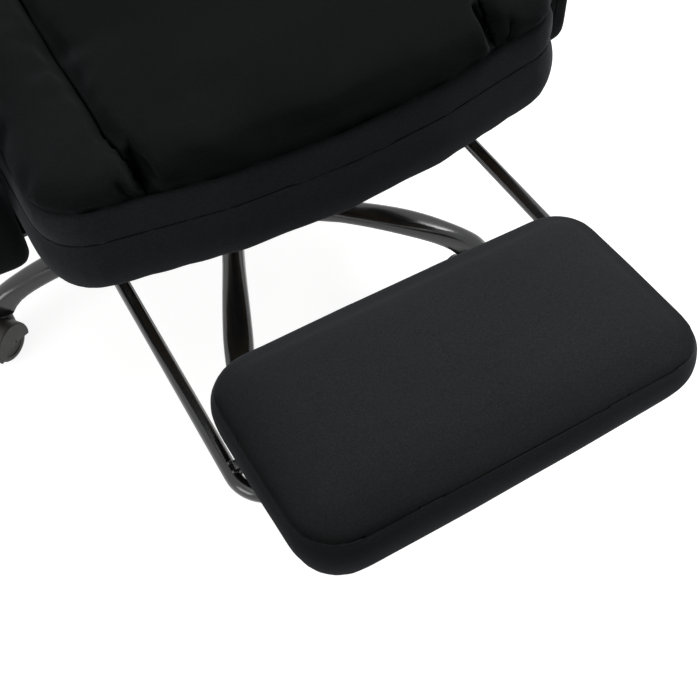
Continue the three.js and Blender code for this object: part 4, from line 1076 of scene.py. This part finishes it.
class CHAIR_OT_castors(bpy.types.Operator):
    """Castors: hooded frames with a stem, an axle and twin wheels"""
    bl_idname = "chair.castors"
    bl_label = "Castors"

    def execute(self, context):
        for k, arm in enumerate(ARMS, 1):
            stem = arm @ Vector((ARM_REACH, 0, 0))
            axle = centre(f"castor_{k}_axle")
            trail = axle - stem
            heading = Matrix.Rotation(atan2(trail.y, trail.x), 4, "Z")
            hub = Matrix.Translation(axle) @ heading @ Matrix.Rotation(pi / 2, 4, "X")
            self.hood(k, stem, hub)
            self.wheels(k, hub)
            dress(f"castor_{k}_axle", 0.0005)
        return {"FINISHED"}

    def hood(self, k, stem, hub):
        """The axle lies along the hub's Z; the hood covers all but the foot of the wheels."""
        bm = bmesh.new()
        for profile in (SHELL, mirrored(CHEEK, -1), CHEEK):
            swept(bm, profile, hub, -HOOD_DIP, pi + 2 * HOOD_DIP, 44)
        lathed(bm, BOSS, hub, 28)
        lathed(bm, STEM, Matrix.Translation(stem), 32)
        recalculated(bm)
        piece(f"castor_{k}_hood", bm, f"castor_{k}", "castor_nylon", [f"castor_{k}_frame"], angle=50)

    def wheels(self, k, hub):
        bm = bmesh.new()
        for side in (-1, 1):
            lathed(bm, mirrored(WHEEL, side), hub, 56)
        recalculated(bm)
        nodes = [f"castor_{k}_wheel_left", f"castor_{k}_wheel_right"]
        piece(f"castor_{k}_wheels", bm, f"castor_{k}_wheels", "castor_nylon", nodes, angle=35)


# Stage
def seen_directly(tree):
    """1 for rays from the camera and for those seen in metal or through glass."""
    rays = add(tree, "LightPath").outputs
    shiny = maths(tree, "MAXIMUM", rays["Is Camera Ray"], rays["Is Glossy Ray"])
    return maths(tree, "MAXIMUM", shiny, rays["Is Transmission Ray"])


class CHAIR_OT_stage(bpy.types.Operator):
    """Stage: pale floor, soft studio light and the camera"""
    bl_idname = "chair.stage"
    bl_label = "Stage"

    def execute(self, context):
        scene = context.scene
        plan = scene.chair_stage
        scene.view_settings.view_transform = "Standard"
        bm = bmesh.new()
        bmesh.ops.create_grid(bm, x_segments=1, y_segments=1, size=12)
        floor = linked("floor", mesh_from("floor", bm))
        floor.data.materials.append(self.floor_material())
        scene.world = bpy.data.worlds.new("Studio")
        scene.world.use_nodes = True
        tree = scene.world.node_tree
        fed(tree, tree.nodes["Background"], Color=(1, 1, 1, 1),
            Strength=ranged(tree, seen_directly(tree), plan.sky, 1.0))
        self.softbox("key_softbox", (1.2, 0.4, 2.6), (0, -0.3, 0.4), 1.3, plan.key_power)
        self.softbox("overhead_softbox", (-0.4, -0.6, 3.1), (0, -0.1, 0.4), 2.4, plan.top_power)
        self.softbox("left_softbox", (-2.6, -0.7, 1.5), (0, -0.2, 0.4), 1.3, plan.side_power)
        data = bpy.data.cameras.new("camera")
        scene.camera = linked("camera", tuned(data, sensor_width=36, lens=plan.lens))
        az, el, roll = (radians(a) for a in (plan.azimuth, plan.elevation, plan.roll))
        turn = (Matrix.Rotation(az, 4, "Z") @ Matrix.Rotation(pi / 2 - el, 4, "X")
                @ Matrix.Rotation(roll, 4, "Z"))
        scene.camera.matrix_world = Matrix.Translation(FOOT + Vector(plan.camera_place)) @ turn
        return {"FINISHED"}

    def floor_material(self):
        material = bpy.data.materials.new("White floor")
        material.use_nodes = True
        tree = material.node_tree
        fed(tree, tree.nodes["Principled BSDF"], Base_Color=(0.42, 0.42, 0.42, 1), Roughness=0.9,
            Specular_IOR_Level=0.1, Emission_Color=(1, 1, 1, 1),
            Emission_Strength=maths(tree, "MULTIPLY", seen_directly(tree), 0.87))
        return material

    def softbox(self, name, place, target, size, power):
        data = tuned(bpy.data.lights.new(name, "AREA"), energy=power, size=size, shape="SQUARE")
        aim = (Vector(target) - Vector(place)).to_track_quat("-Z", "Y")
        tuned(linked(name, data), location=place, rotation_euler=aim.to_euler())


STEPS = (CHAIR_OT_stage, CHAIR_OT_base, CHAIR_OT_castors, CHAIR_OT_column, CHAIR_OT_mechanism,
         CHAIR_OT_seat, CHAIR_OT_armrests, CHAIR_OT_footrest_frame, CHAIR_OT_footrest_pad,
         CHAIR_OT_recliner, CHAIR_OT_back)


class CHAIR_PT_panel(bpy.types.Panel):
    """The chair's settings and the operators that make its pieces"""
    bl_idname = "CHAIR_PT_panel"
    bl_label = "Office chair"
    bl_space_type = "VIEW_3D"
    bl_region_type = "UI"
    bl_category = "Chair"

    def draw(self, context):
        for name in SETTINGS:
            held = getattr(context.scene, name)
            box = self.layout.box()
            for key in held.__annotations__:
                box.prop(held, key)
        for step in STEPS:
            self.layout.operator(step.bl_idname)


SETTINGS = {
    "chair_upholstery": UpholsterySettings,
    "chair_metal": MetalSettings,
    "chair_plastic": PlasticSettings,
    "chair_stage": StageSettings,
}


def register():
    for name, made in SETTINGS.items():
        bpy.utils.register_class(made)
        setattr(bpy.types.Scene, name, PointerProperty(type=made))
    for made in (*STEPS, CHAIR_PT_panel):
        bpy.utils.register_class(made)


def unregister():
    for made in (CHAIR_PT_panel, *reversed(STEPS)):
        bpy.utils.unregister_class(made)
    for name, made in SETTINGS.items():
        delattr(bpy.types.Scene, name)
        bpy.utils.unregister_class(made)


def main():
    register()
    for step in STEPS:
        getattr(bpy.ops.chair, step.bl_idname.removeprefix("chair."))()


if __name__ == "__main__":
    main()
